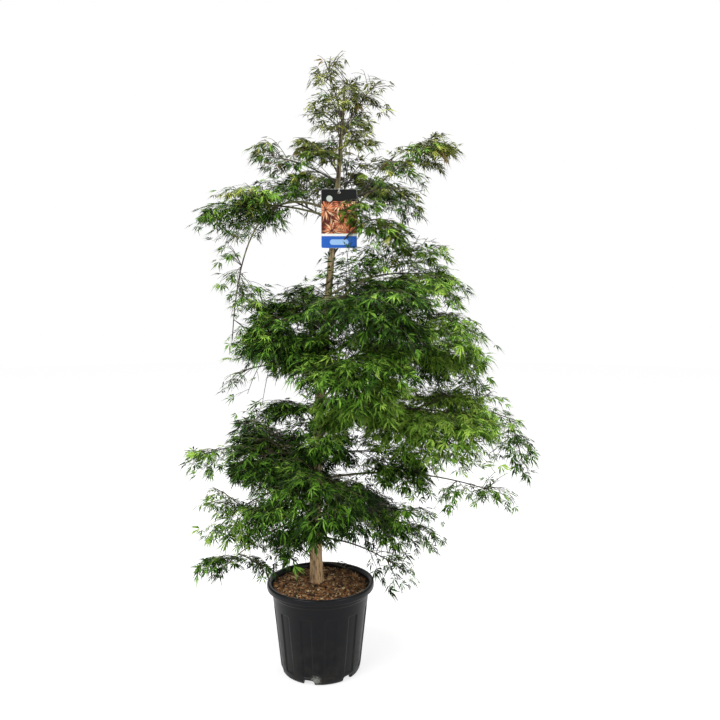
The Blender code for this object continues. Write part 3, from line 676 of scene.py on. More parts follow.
@dataclass
class Mulch:
    """Shredded bark over the potting mix: a dark uneven bed with loose chips on it."""

    top: float = 0.3275
    fall: float = 0.004
    bump: float = 0.0022
    bump_spread: float = 55.0  # bumps for each metre
    radius: float = 0.1835
    rings: int = 40
    columns: int = 120
    chips: int = 3400
    shortest: float = 0.005
    spread: float = 0.027
    seed: int = 5
    shares: tuple[float, ...] = (0.20, 0.20, 0.24, 0.18, 0.12, 0.06)  # of the chips in each colour
    hull: tuple[tuple[int, int, int], ...] = (
        (0, 2, 1), (0, 3, 2), (4, 5, 6), (4, 6, 7), (0, 1, 5), (0, 5, 4),
        (1, 2, 6), (1, 6, 5), (2, 3, 7), (2, 7, 6), (3, 0, 4), (3, 4, 7),
    )  # a chip's triangles
    finish: PottingMix = PottingMix()

    def level(self, places: Array) -> Array:
        """The bed's height at each place.

        Args:
            places: The places, whose own height doesn't count.

        Returns:
            The height at each place.
        """
        spots = places[:, :2] * self.bump_spread
        bumps = [noise.fractal(Vector((x, y, 0.3)), 1.0, 2.0, 4) for x, y in spots]
        share = np.hypot(places[:, 0], places[:, 1]) / self.radius
        return self.top - self.fall * share**2 + self.bump * np.array(bumps)

    def bed(self) -> Shape:
        """The bed's surface.

        Returns:
            Its points and triangles.
        """
        reach = self.radius * np.linspace(1.0, 0.02, self.rings)[:, None, None]
        points, faces = through_rings(reach * level_ring(once_round(self.columns)), np.zeros(3))
        points[:, 2] = self.level(points)
        return points, faces

    def build(self) -> None:
        """Makes the bed and its chips."""
        bed = make_piece("mulch_bed", self.bed(), [self.finish.material()])
        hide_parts("soil")
        rng = np.random.default_rng(self.seed)
        count = self.chips
        length = self.spread * rng.beta(2.0, 3.2, count) + self.shortest
        width = length * rng.uniform(0.16, 0.46, count)
        thick = width * rng.uniform(0.25, 0.55, count)
        square = ((-1, -1), (1, -1), (1, 1), (-1, 1))
        corners = np.array([(x, y, z) for z in (-1, 1) for x, y in square]) / 2
        box = np.tile(corners, (count, 1, 1)) * np.stack([length, width, thick], axis=1)[:, None]
        box *= rng.uniform(0.55, 1.15, box.shape)
        yaw = rng.uniform(0, 2 * math.pi, count)
        pitch, roll = rng.normal(0, 0.24, count), rng.normal(0, 0.40, count)
        ahead = np.cos(pitch)[:, None] * level_ring(yaw) + np.sin(pitch)[:, None] * UP
        flat = unit(np.cross(UP, ahead))
        side = np.cos(roll)[:, None] * flat + np.sin(roll)[:, None] * np.cross(ahead, flat)
        axes = np.stack([ahead, side, np.cross(ahead, side)], axis=1)
        out = (self.radius - 0.5 * length - 0.002) * np.sqrt(rng.uniform(0.004, 1.0, count))
        place = out[:, None] * level_ring(rng.uniform(0, 2 * math.pi, count))
        place[:, 2] = self.level(place) + rng.uniform(0.000, 0.0035, count)
        points = (place[:, None] + np.einsum("cki,cij->ckj", box, axes)).reshape(-1, 3)
        faces = (np.array(self.hull) + 8 * np.arange(count)[:, None, None]).reshape(-1, 3)
        slots = np.repeat(rng.choice(len(self.shares), count, p=self.shares), len(self.hull))
        chips = make_piece("mulch_chips", (points, faces), CHIP.materials(), slots, smooth=False)


# ------------------------------------------------------------------------------------------ trunk and limbs


def relief(rings: Array, furrow: float, length: float, octaves: int = 4) -> Array:
    """Bark relief at each point of rings, about -1 to 1: ridges a furrow wide that run up for a length.

    Args:
        rings: The points, ring by ring.
        furrow: How wide a furrow is.
        length: How long a furrow is.
        octaves: How many sizes of ridges there are.

    Returns:
        The relief at each point.
    """
    points = rings.reshape(-1, 3) * np.array((1 / furrow, 1 / furrow, 1 / length))
    rough = [noise.fractal(Vector(point), 0.9, 2.1, octaves) for point in points]
    return np.array(rough).reshape(rings.shape[:2])


@dataclass
class Trunk:
    """The leader: slender and slightly bowed, from a ribbed flare at the mulch to its tip."""

    soil: float = 0.330
    top: float = 2.195
    x: float = -0.017
    y: float = 0.020
    lean: float = 0.112
    bow: float = 0.050
    sway: float = 0.014
    foot_radius: float = 0.0245
    tip_radius: float = 0.0035
    flare: float = 0.0015
    flare_height: float = 0.050
    ribs: int = 5
    rib_height: float = 0.16
    columns: int = 72
    rings: int = 620
    furrow: float = 0.0065
    furrow_length: float = 0.060
    relief_depth: float = 0.0021
    sunk: float = 0.006  # how deep the bark goes into the mulch
    # its tinge, #565539, is darker than the ground: a green tinge and painted shade for the trunk inside the
    # crown
    finish: MapleBark = MapleBark("maple_bark", "#9a876c", "#2f2417", "#b6946a", "#565539")

    def point(self, height: Array | float) -> Array:
        """The middle of the trunk at each height.

        Args:
            height: The heights.

        Returns:
            A point for each height.
        """
        height = np.asarray(height, float)
        share = (height - self.soil) / (self.top - self.soil)
        bow = self.bow * np.sin(math.pi * share) * np.maximum(1 - share, 0.0) ** 1.2
        sway = self.sway * np.sin(2 * math.pi * share)
        return np.stack([self.x + self.lean * share - bow, self.y + sway, height], axis=-1)

    def radius(self, height: Array | float) -> Array:
        """The trunk's radius at each height, without its ribs.

        Args:
            height: The heights.

        Returns:
            A radius for each height.
        """
        height = np.asarray(height, float)
        share = np.clip((height - self.soil) / (self.top - self.soil), 0.0, 1.0)
        taper = (self.foot_radius - self.tip_radius) * (1 - share) ** 0.85
        return self.tip_radius + taper + self.flare * np.exp(-(height - self.soil) / self.flare_height)

    def build(self) -> None:
        """Makes the trunk with its bark."""
        share = np.linspace(0, 1, self.rings) ** 1.06
        heights = self.soil - self.sunk + (self.top - self.soil + self.sunk) * share
        turn = once_round(self.columns)
        middle, outward = self.point(heights), level_ring(turn)
        flare = np.exp(-(heights - self.soil) / self.flare_height)[:, None]
        radius = self.radius(heights)[:, None] * (1 + self.rib_height * flare * np.cos(self.ribs * turn))
        rough = relief(around(middle, radius, outward), self.furrow, self.furrow_length)
        depth = self.relief_depth * (0.35 + radius / self.foot_radius)
        radius = radius + depth * np.clip(rough, -1.2, 0.8)
        shape = through_rings(around(middle, radius, outward), self.point(self.top + 0.002))
        piece = make_piece("trunk_bark", shape, [self.finish.material()])
        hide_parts("trunk")


@dataclass(frozen=True)
class Mass:
    """A mass of foliage: the space that it fills, and the limb that leaves the trunk for it."""

    name: str
    centre_mm: tuple[int, int, int]
    half_mm: tuple[int, int, int]  # half its size
    root: float  # height where its limb leaves the trunk, or 0 for the trunk's own tip
    arch: float  # how far the limb's control point rises over the straight line
    twigs: int
    tone: float  # the middle of its sprays' leaf colours, by number: partly the leaves' own colour, partly painted shade, lowest for masses in shade at the back and under the crown
    fullness: float  # how many of its sprays and leaves it has
    weep: float  # how far its outer side hangs, for each metre out
    look: int  # which of its chance arrangements it grows in
    bough: bool = False
    bend: float = 0.5
    end: float = 0.15
    wisp: bool = False  # too slight for a plain solid of its own

    @property
    def centre(self) -> Array:
        """Its middle, in metres."""
        return np.array(self.centre_mm) / 1000

    @property
    def half(self) -> Array:
        """Half its size, in metres."""
        return np.array(self.half_mm) / 1000


# Each mass's tone is partly painted shade: the masses at the back and low under the crown, such as back_low
# and foot_left, are given the darkest.
TIERS: dict[str, tuple[Mass, ...]] = {
    "leader": (
        Mass("crown_tip", (101, 0, 2161), (62, 75, 80), 0.0, 0.0, 3, 2.4, 0.71, 0.0, 6),
        Mass("tip_left", (33, -10, 2234), (56, 75, 56), 2.05, 0.03, 3, 2.6, 0.48, 0.1, 2),
        Mass("tip_right", (194, 10, 2163), (72, 80, 75), 2.0, 0.04, 3, 2.6, 0.16, 0.1, 5),
        Mass("tip_collar", (98, 0, 2114), (110, 85, 45), 1.98, 0.03, 4, 2.4, 0.3, 0.2, 5, wisp=True),
        Mass("collar_front", (85, -125, 2010), (110, 90, 110), 1.84, 0.05, 4, 2.0, 0.36, 0.1, 6),
        Mass("collar_back", (85, 130, 2030), (100, 90, 100), 1.88, 0.03, 3, 1.8, 0.55, 0.1, 1),
        Mass("collar_left", (0, 10, 1939), (85, 85, 60), 1.86, 0.05, 3, 2.7, 0.8, 0.1, 5),
    ),
    "shoulder_left": (
        Mass("shoulder_left", (-117, 0, 1897), (120, 105, 80), 1.83, 0.04, 4, 2.5, 0.34, 0.1, 3),
        Mass("left_arm_inner", (-176, 10, 1775), (145, 115, 85), 1.68, 0.05, 3, 2.3, 0.72, 0.1, 5),
        Mass("arm_under", (54, -20, 1677), (70, 60, 36), 1.66, 0.03, 3, 2.2, 0.75, 0.1, 4, wisp=True),
        Mass("left_arm", (-251, -20, 1718), (150, 130, 75), 1.7, 0.06, 4, 3.1, 0.53, 0.2, 6, bough=True),
        Mass("left_whips", (-267, -20, 1392), (100, 90, 175), 1.72, 0.6, 5, 3.0, 0.4, 0.0, 4,
             bough=True, bend=0.9, end=-0.6),
    ),
    "shoulder_right": (
        Mass("shoulder_right", (251, 10, 1793), (110, 110, 75), 1.74, 0.05, 4, 2.2, 0.37, 0.1, 6),
        Mass("right_plume", (357, 20, 1930), (125, 110, 76), 1.66, 0.05, 4, 2.8, 0.74, 0.12, 4, bough=True),
        Mass("shoulder_back", (110, 225, 1860), (160, 115, 95), 1.68, 0.07, 4, 1.9, 0.62, 0.1, 1),
        Mass("right_curtain", (194, -60, 1652), (115, 120, 110), 1.56, 0.1, 4, 2.8, 0.62, 0.1, 3),
        Mass("tag_side", (129, -70, 1706), (45, 60, 50), 1.72, 0.03, 3, 2.1, 1.0, 0.0, 0, wisp=True),
    ),
    "middle_left": (
        Mass("front_dome", (195, -245, 1400), (180, 150, 130), 1.28, 0.09, 4, 1.7, 0.9, 0.2, 1),
        Mass("left_dome", (-83, -60, 1295), (160, 160, 110), 1.24, 0.08, 5, 1.9, 0.99, 0.6, 0),
        Mass("left_skirt", (-116, -30, 1221), (150, 145, 75), 1.1, 0.07, 4, 3.3, 0.86, 0.0, 1),
        Mass("left_wisps", (-259, 0, 1118), (90, 80, 110), 1.14, 0.06, 3, 2.6, 0.19, 0.2, 3, wisp=True),
        Mass("middle_back", (80, 260, 1370), (200, 150, 115), 1.3, 0.09, 4, 1.5, 0.79, 0.15, 4, bough=True),
    ),
    "middle_right": (
        Mass("right_shelf", (353, -50, 1465), (160, 135, 85), 1.42, 0.09, 4, 3.5, 0.54, 0.1, 1, bough=True),
        Mass("right_shelf_tip", (380, 40, 1510), (105, 120, 100), 1.36, 0.13, 4, 3.3, 0.67, 0.2, 3,
             bough=True),
        Mass("right_middle", (395, -60, 1322), (180, 160, 95), 1.18, 0.11, 5, 4.0, 0.36, 0.2, 1, bough=True),
        Mass("right_middle_tip", (482, 50, 1198), (130, 125, 95), 1.07, 0.13, 4, 4.1, 0.75, 0.25, 0,
             bough=True),
        Mass("front_middle", (138, -260, 1187), (175, 145, 115), 1.06, 0.09, 4, 2.9, 1.0, 0.15, 1),
        Mass("right_back", (330, 300, 1190), (185, 150, 115), 1.02, 0.11, 4, 2.6, 0.96, 0.2, 6, bough=True),
    ),
    "lower_left": (
        Mass("left_shoulder_low", (-62, 50, 957), (140, 130, 85), 0.88, 0.07, 4, 2.0, 0.76, 0.15, 4),
        Mass("left_low", (-169, -50, 805), (140, 150, 85), 0.76, 0.08, 5, 1.5, 1.0, 0.0, 4, bough=True),
        Mass("front_gap", (21, -80, 850), (105, 90, 75), 0.76, 0.05, 3, 0.8, 1.0, 0.0, 3, wisp=True),
        Mass("left_low_tip", (-385, 20, 807), (115, 95, 60), 0.82, 0.09, 3, 2.8, 0.53, 0.3, 0, bough=True),
        Mass("left_weeping", (-329, 20, 561), (115, 115, 120), 0.68, 0.12, 5, 3.2, 0.46, 0.1, 3,
             bough=True, end=-0.1),
        Mass("left_hanging", (-315, -20, 415), (120, 90, 40), 0.58, 0.07, 3, 2.2, 0.55, 0.0, 0, bough=True),
        Mass("left_back_low", (-190, 290, 800), (185, 140, 125), 0.7, 0.09, 4, 0.9, 0.82, 0.2, 0),
    ),
    "lower_front": (
        Mass("front_low_left", (-73, -190, 635), (150, 140, 140), 0.53, 0.12, 4, 1.8, 0.79, 0.15, 2),
        Mass("front_low", (50, -265, 727), (145, 135, 105), 0.6, 0.12, 4, 1.6, 0.56, 0.15, 4),
        Mass("front_knee", (146, -250, 1040), (150, 130, 105), 0.86, 0.08, 4, 3.8, 1.0, 0.15, 4),
        Mass("foot_left", (-119, 10, 486), (70, 60, 45), 0.4, 0.03, 3, 0.4, 1.0, 0.0, 0, wisp=True),
        Mass("foot_right", (102, 80, 338), (60, 50, 32), 0.4, 0.03, 3, 0.4, 0.7, 0.0, 4, wisp=True),
    ),
    "lower_right": (
        Mass("right_low", (407, -60, 969), (210, 165, 100), 0.94, 0.08, 5, 4.5, 1.0, 0.25, 4, bough=True),
        Mass("right_sweep", (662, 20, 937), (145, 110, 90), 0.99, 0.13, 4, 2.9, 0.38, 1.1, 3, bough=True),
        Mass("right_under", (279, 50, 783), (135, 150, 80), 0.81, 0.06, 4, 2.8, 0.67, 0.15, 4),
        Mass("right_fringe", (577, -40, 685), (130, 100, 80), 0.72, 0.1, 4, 3.0, 0.28, 0.1, 2, bough=True),
        Mass("right_weeping", (298, -40, 538), (120, 130, 115), 0.58, 0.16, 5, 2.2, 0.44, 0.0, 4, end=-0.15),
        Mass("right_hanging", (278, -30, 390), (80, 80, 45), 0.5, 0.06, 3, 1.8, 0.21, 0.1, 0, wisp=True),
        Mass("back_low", (110, 290, 570), (205, 150, 115), 0.54, 0.13, 4, 0.4, 0.8, 0.15, 0),
    ),
}


class Limb:
    """A limb: from the trunk's axis, over its arch, to deep in its mass."""

    end_share = (0.60, 0.60, 0.30)  # how far past its mass's centre it ends, as shares of the half size
    leader_end = (0.12, 0.0, 0.45)
    tip_radius = 0.0017
    thickening = 0.0066  # radius gained for each metre back towards the trunk
    longest = 0.50  # past this length a limb is no thicker
    collar = 0.35  # radius gained where it leaves the trunk, as a share of what it gained on its way
    collar_length = 0.020
    furrow = 0.004
    relief_depth = 0.0006
    ring_spacing = 0.004

    def __init__(self, mass: Mass, trunk: Trunk) -> None:
        """Works out the limb's three points and its length.

        Args:
            mass: The mass that it carries.
            trunk: The trunk that it leaves.
        """
        centre, half = mass.centre, mass.half
        self.mass = mass
        if mass.root:
            self.start = trunk.point(mass.root)
            outward = unit((centre - self.start) / half)
            self.end = centre + half * outward * self.end_share + mass.end * half[2] * UP
            self.middle = self.start + mass.bend * (self.end - self.start) + mass.arch * UP
        else:
            self.start = trunk.point(trunk.top - 0.002)
            self.end = centre + half * self.leader_end
            self.middle = (self.start + centre) / 2
        self.length = np.linalg.norm(self.middle - self.start) + np.linalg.norm(self.end - self.middle)

    def at(self, share: Array | float) -> Array:
        """Points at shares of the way along."""
        return bezier(self.start, self.middle, self.end, share)

    def radius(self, share: Array | float) -> Array:
        """The radius at each share: stout at the trunk, with a collar there, and fine at the end.

        Args:
            share: The shares of its length.

        Returns:
            A radius for each share.
        """
        share = np.asarray(share, float)
        gained = self.thickening * min(self.length, self.longest)
        collar = self.collar * gained * np.exp(-share * self.length / self.collar_length)
        return self.tip_radius + gained * (1 - share) ** 1.1 + collar

    def split(self) -> float:
        """The share of the limb that is a bare bough: up to where it enters its mass's space.

        Returns:
            The share, or 0 where its mass has no bare bough.
        """
        if not self.mass.bough:
            return 0.0
        shares = np.linspace(0.0, 1.0, 101)
        inside = np.linalg.norm((self.at(shares) - self.mass.centre) / self.mass.half, axis=1) < 1.0
        return float(shares[np.argmax(inside)])

    def bark(self, share: float, sides: int) -> Shape:
        """The limb with its bark's relief, up to a share of its length.

        Args:
            share: The share of its length where it ends.
            sides: How many sides it has.

        Returns:
            Its points and triangles.
        """
        rings = max(int(self.length * share / self.ring_spacing), 8)
        shares = np.linspace(0.0, share, rings)
        path = self.at(shares)
        outward, ahead = rings_along(path, sides)
        radius = np.repeat(self.radius(shares)[:, None], sides, axis=1)
        rough = relief(around(path, radius, outward), self.furrow, self.furrow * 3, 3)
        radius = radius + np.minimum(self.relief_depth, 0.12 * radius) * rough
        return through_rings(around(path, radius, outward), path[-1] + 0.5 * radius[-1].mean() * ahead[-1])


# ------------------------------------------------------------------------------------------ foliage


class LeafCutter:
    """Cuts laceleaf blades: seven slim lobes from the stalk's end, each with a tooth on both edges."""

    # each lobe's turn in degrees, and its length; then its tooth and the notch after it, as shares along
    # and out
    lobes = ((-92, 0.52), (-58, 0.80), (-28, 0.95), (0, 1.0), (28, 0.95), (58, 0.80), (92, 0.52))
    teeth = ((0.54, 0.060), (0.60, 0.028))
    narrowing = (0.55, 0.98)  # of a leaf's turns
    lengths = (0.70, 1.12)
    turning = 8  # degrees that a lobe is off by
    curling = 0.24
    fold = 0.4
    lobe_triangles = 4
    stalk_triangles = 2
    stalk = 0.30
    stalk_half_width = 0.009
    patterns = 32
    droop = 0.28

    def __init__(self, seed: int) -> None:
        """Cuts the patterns.

        Args:
            seed: The seed of its chance draws.
        """
        rng = np.random.default_rng(seed)
        self.points = np.stack([self.pattern(rng) for _ in range(self.patterns)])
        self.faces = self.triangles()

    def pattern(self, rng: Chance) -> Array:
        """One leaf's points at length one: across, ahead and above its stalk's end, stalk last.

        Args:
            rng: Where its chance draws come from.

        Returns:
            The leaf's points.
        """
        points = [(0.0, 0.0, 0.0)]
        narrow = rng.uniform(*self.narrowing)
        for angle, length in self.lobes:
            turn = math.radians(angle * narrow + rng.normal(0, self.turning))
            length = length * rng.uniform(*self.lengths)
            curl = rng.normal(0, self.curling)
            for side in (-1, 1):
                for along, out in self.teeth:
                    reach = length * (along + rng.normal(0, 0.02))
                    points.append(self.spot(turn + curl * along, reach, side * out * rng.uniform(0.8, 1.2)))
            points.append(self.spot(turn + curl, length, 0.0))
        width = self.stalk_half_width
        points += [(-width, -self.stalk, 0.0), (width, -self.stalk, 0.0), (0.0, 0.0, -width)]
        return np.array(points)

    def spot(self, turn: float, reach: float, out: float) -> tuple[float, float, float]:
        """A point on a lobe, whose edges fold up."""
        across, ahead = math.sin(turn), math.cos(turn)
        return reach * across + out * ahead, reach * ahead - out * across, self.fold * abs(out)

    def triangles(self) -> Array:
        """Each leaf's triangles.

        Returns:
            The triangles, as rows of a leaf's point numbers.
        """
        faces = []
        for lobe in range(len(self.lobes)):
            left, left_notch, right, right_notch, tip = range(1 + 5 * lobe, 6 + 5 * lobe)
            faces += [(0, left, left_notch), (0, right_notch, right)]
            faces += [(0, left_notch, right_notch), (left_notch, tip, right_notch)]
        last = 1 + 5 * len(self.lobes)
        faces += [(last, last + 1, 0), (last, 0, last + 2)]
        return np.array(faces)

    def cut(self, roots: Array, ahead: Array, normal: Array, length: Array, which: Array) -> Shape:
        """Leaves in place.

        Args:
            roots: Where each leaf's stalk begins.
            ahead: Each leaf's direction.
            normal: The side of each leaf that faces up.
            length: Each leaf's length, from its stalk's end to its longest tip.
            which: The number of each leaf's pattern.

        Returns:
            The points of all the leaves, and their triangles.
        """
        axes = np.stack([np.cross(ahead, normal), ahead, normal], axis=1)
        flat = self.points[which] + (0.0, self.stalk, 0.0)
        points = roots[:, None] + length[:, None, None] * np.einsum("lki,lij->lkj", flat, axes)
        out = np.linalg.norm(self.points[which], axis=2)
        out[:, -3:] = 0.0
        points[..., 2] -= self.droop * length[:, None] * out**2
        starts = self.points.shape[1] * np.arange(len(roots))[:, None, None]
        return points.reshape(-1, 3), (self.faces + starts).reshape(-1, 3)


@dataclass
class Spray:
    """A shoot's leaves: what each one is cut from."""

    colours: Array
    roots: Array
    ahead: Array
    normal: Array
    length: Array


@dataclass
class Crown:
    """All the foliage, grown mass by mass by one rule."""

    trunk: Trunk
    room: Array  # the lowest and highest corner that leaves may reach
    reach: tuple[float, float, float] = (1.24, 1.24, 1.60)  # of leaves, as shares of their mass's half size
    raggedness: float = 0.26
    spans: tuple[float, ...] = (0.11, 0.083, 0.064, 0.051, 0.042)  # of the waves that make a mass ragged
    hang: float = 0.03
    flattening: float = 1.6
    overlap: float = 0.080  # how far a mass's sprays may pass into its neighbour's space
    twig_reach: float = 0.95
    twig_spread: tuple[float, float] = (0.55, 1.20)
    twig_levels: tuple[float, ...] = (0.25, 0.95, -0.45, 0.60, 0.00, -0.95, 1.20, -0.20)
    twig_arch: float = 0.13
    twigs_for_one: float = 6.0  # twigs here for each one that a mass names
    twig_steps: int = 9
    twig_radii: tuple[float, float] = (0.0014, 0.0009)  # the least at its root, and at its tip
    shortest_twig: float = 0.03
    spray_shares: tuple[float, ...] = (0.22, 0.36, 0.50, 0.64, 0.76, 0.88, 1.0)
    spray_length: tuple[float, float] = (0.060, 0.135)
    shoot_radii: tuple[float, float] = (0.0011, 0.0006)
    shortest_reach: float = 0.025  # from a twig's root to its first spray
    shoot_turn: tuple[float, float] = (0.55, 1.05)  # from its twig, in radians
    shoot_scatter: float = 0.08
    shoot_rise: float = 0.5  # a shoot's slope, as a share of its twig's
    spray_arch: float = 0.10
    spray_droop: float = 0.24
    node_spacing: float = 0.021
    leaf_length: tuple[float, float] = (0.035, 0.059)
    leaf_spread: float = 0.85
    leaf_forward: tuple[float, float] = (0.45, 0.9)
    leaf_drop: tuple[float, float] = (-0.30, 0.62)
    low_leaves: float = 0.8  # below this height leaves drop more, by low_drop
    low_drop: float = 0.25
    leaf_scatter: float = 0.22
    leaf_outward: float = 0.35  # how much a leaf's upper side faces out of its mass
    leaf_tilt: float = 0.38
    trunk_gap: float = 0.004
    tag_box: tuple[tuple[float, float], ...] = ((0.000, 0.148), (-0.060, 0.012), (1.575, 1.815))
    greens: int = 6  # shades of green, before the sunburnt ones
    olives: int = 3
    olive_share: float = 0.92  # of the sprays at the top, which the sun has turned
    olive_from: float = 1.50
    bronze_share: float = 0.05
    pot_clear: float = 0.206
    pot_top: float = 0.350
    seed: int = 20
    cutter: LeafCutter = field(default_factory=lambda: LeafCutter(3))
    bark: MapleBark = MapleBark("limb_bark", "#5d523f", "#30281e", "#6c5b43", "#62673f", tinge_from=0.3)

    def __post_init__(self) -> None:
        """Lists the masses with what shares the crown out among them."""
        self.masses = [mass for tier in TIERS.values() for mass in tier]
        self.stretch = np.array((1.0, 1.0, self.flattening))
        self.centres = np.array([mass.centre for mass in self.masses]) * self.stretch
        self.sizes = np.array([np.prod(mass.half) ** (1 / 3) for mass in self.masses])

    def in_own_space(self, points: Array, own: int) -> Array:
        """Which points are in a mass's own share of the crown, or just past it.

        Args:
            points: The points to judge.
            own: The mass's number among all the masses.

        Returns:
            For each point, whether it is.
        """
        power = np.sum((points[:, None] * self.stretch - self.centres) ** 2, axis=2) - self.sizes**2
        apart = 2 * np.linalg.norm(self.centres - self.centres[own], axis=1)
        apart[own] = 1.0
        lead = (power - power[:, own : own + 1]) / apart
        lead[:, own] = 0.0
        return (lead > -self.overlap).all(axis=1)

    def in_reach(self, points: Array, mass: Mass) -> Array:
        """Which points are in the mass's ragged space, whose outer side hangs.

        Args:
            points: The points to judge.
            mass: The mass.

        Returns:
            For each point, whether it is.
        """
        offset = points - mass.centre + self.hang / 2 * UP
        offset[:, 2] += mass.weep * offset @ self.outward(mass)
        share = offset / (np.array(self.reach) * mass.half + self.hang / 2 * UP)
        ragged = 1.0 + self.raggedness * self.waves(points - mass.centre)
        return np.sum(np.abs(share) ** 3, axis=1) ** (1 / 3) < ragged

    def outward(self, mass: Mass) -> Array:
        """The level direction from the trunk to a mass."""
        return unit((mass.centre - self.trunk.point(mass.centre[2])) * (1.0, 1.0, 0.0))

    def waves(self, points: Array) -> Array:
        """An uneven field from about -1 to 1, which makes bays and tongues of a few centimetres.

        Args:
            points: The points.

        Returns:
            The field's value at each point.
        """
        total = np.zeros(len(points))
        for number, span in enumerate(self.spans):
            turn = GOLDEN_ANGLE * number
            along = points @ (math.cos(turn), math.sin(turn), 1.3 * math.cos(2.1 * turn))
            total += np.sin(2 * math.pi * along / span + 1.7 * number)
        return total / 3

    def clear(self, points: Array) -> Array:
        """Which points are in the room and clear of the trunk, the pot and the tag.

        Args:
            points: The points to judge.

        Returns:
            For each point, whether it is.
        """
        height = points[:, 2]
        from_axis = np.hypot(*(points - self.trunk.point(height))[:, :2].T)
        clear = (from_axis > self.trunk.radius(height) + self.trunk_gap) | (height > self.trunk.top)
        clear &= (np.hypot(points[:, 0], points[:, 1]) > self.pot_clear) | (height > self.pot_top)
        low, high = np.array(self.tag_box).T
        in_tag = ((low < points) & (points < high)).all(axis=1)
        return clear & ~in_tag & ((self.room[0] < points) & (points < self.room[1])).all(axis=1)

    def fits(self, points: Array, mass: Mass, own: int) -> bool:
        """Whether all of a path's points are where the mass may grow."""
        return (self.in_reach(points, mass) & self.in_own_space(points, own) & self.clear(points)).all()

    def twig_targets(self, mass: Mass, rng: Chance) -> Iterator[Array]:
        """Where a mass's twigs reach: spread round its space by the golden angle, at each level by turns.

        Args:
            mass: The mass.
            rng: Where its chance draws come from.

        Returns:
            The point that each twig reaches for.
        """
        turn = rng.uniform(0, 2 * math.pi)
        for number in range(round(mass.twigs * self.twigs_for_one * (0.3 + 0.7 * mass.fullness))):
            turn += GOLDEN_ANGLE
            level = self.twig_levels[number % len(self.twig_levels)]
            reach = self.twig_reach * rng.uniform(*self.twig_spread)
            offset = mass.half * (reach * math.cos(turn), reach * math.sin(turn), level)
            offset[2] -= mass.weep * offset @ self.outward(mass)
            yield mass.centre + offset

    def shades(self, mass: Mass, place: Array, rng: Chance) -> tuple[float, int, int]:
        """One spray's middle shade, and the first and last shade of its kind. The middle is painted light and
        shade: lighter towards the top of its mass and darker towards its foot, for light that falls from
        above.

        Args:
            mass: The mass.
            place: Where the spray ends.
            rng: Where its chance draws come from.

        Returns:
            The middle, first and last shade.
        """
        height = (place[2] - mass.centre[2]) / mass.half[2]
        # painted light and shade: a spray high in its mass gets a lighter colour, one low in it a darker one
        shade = mass.tone + 0.45 * height + rng.normal(0, 0.35)
        sun = smooth_step((place[2] - self.olive_from) / (self.trunk.top - self.olive_from))
        bronze = self.greens + self.olives
        if rng.random() > self.olive_share * sun:
            return shade, 0, self.greens - 1
        if rng.random() < self.bronze_share:
            return bronze, bronze, bronze
        return self.greens + 0.8 * (shade - 1.2), self.greens, bronze - 1

    def lobe_shades(self, colours: Array, rng: Chance) -> Array:
        """Each triangle's shade: each lobe is near its leaf's shade, and of the same kind.

        Args:
            colours: Each leaf's shade.
            rng: Where its chance draws come from.

        Returns:
            A shade for each triangle of all the leaves.
        """
        bronze = self.greens + self.olives
        kinds = [colours < self.greens, colours < bronze]
        first = np.select(kinds, [0, self.greens], bronze)
        last = np.select(kinds, [self.greens - 1, bronze - 1], bronze)
        steps = rng.choice((-2, -1, 0, 1, 1), size=(len(colours), len(self.cutter.lobes)))
        shades = np.clip(colours[:, None] + steps, first[:, None], last[:, None])
        stalks = np.repeat(colours[:, None], self.cutter.stalk_triangles, axis=1)
        return np.hstack([np.repeat(shades, self.cutter.lobe_triangles, axis=1), stalks]).ravel()

    def spray(self, mass: Mass, own: int, path: Array, rng: Chance, tint: Chance) -> Spray:
        """Puts leaves on a shoot: pairs along it and one at its end.

        Args:
            mass: The mass.
            own: Its number among all the masses.
            path: The shoot's points.
            rng: Where the leaves' chance draws come from.
            tint: Where the colours' chance draws come from.

        Returns:
            The leaves that have room.
        """
        nodes = max(int(length_of(path) / self.node_spacing), 1)
        share = np.repeat(np.linspace(1.0, 1 / (nodes + 1), nodes), 2)
        side = np.tile((-1.0, 1.0), nodes)
        keep = rng.random(2 * nodes) < 0.35 + 0.65 * mass.fullness
        share, side = np.append(share[keep], 1.0), np.append(side[keep], 0.0)
        spots = bezier(path[0], path[len(path) // 2], path[-1], share)
        forward = unit(path[-1] - path[0])
        count = len(share)
        spread = np.where(side == 0.0, 0.0, self.leaf_spread)[:, None]
        ahead = spread * side[:, None] * sideways(forward)
        ahead += rng.uniform(*self.leaf_forward, (count, 1)) * forward
        ahead[:, 2] -= rng.uniform(*self.leaf_drop, count) + self.low_drop * (path[0, 2] < self.low_leaves)
        ahead = unit(ahead + rng.normal(0, self.leaf_scatter, (count, 3)))
        outward = unit(spots - (mass.centre - 0.6 * mass.half[2] * UP))
        normal = UP + self.leaf_outward * outward + rng.normal(0, self.leaf_tilt, (count, 3))
        normal = unit(normal - ahead * np.sum(normal * ahead, axis=1, keepdims=True))
        size = rng.uniform(*self.leaf_length, count) * (0.85 + 0.3 * mass.half[0] / 0.16 * 0.5)
        tips = spots + ahead * (1.1 * size)[:, None] - 0.2 * size[:, None] * UP
        blades = spots + ahead * (0.6 * size)[:, None]
        good = self.in_reach(tips, mass) & self.in_own_space(blades, own)
        good &= self.clear(tips) & self.clear(blades)
        middle, first, last = self.shades(mass, path[-1], tint)
        colours = np.clip(np.round(middle + tint.normal(-0.1, 0.8, count)), first, last).astype(int)
        return Spray(colours[good], spots[good], ahead[good], normal[good], size[good])

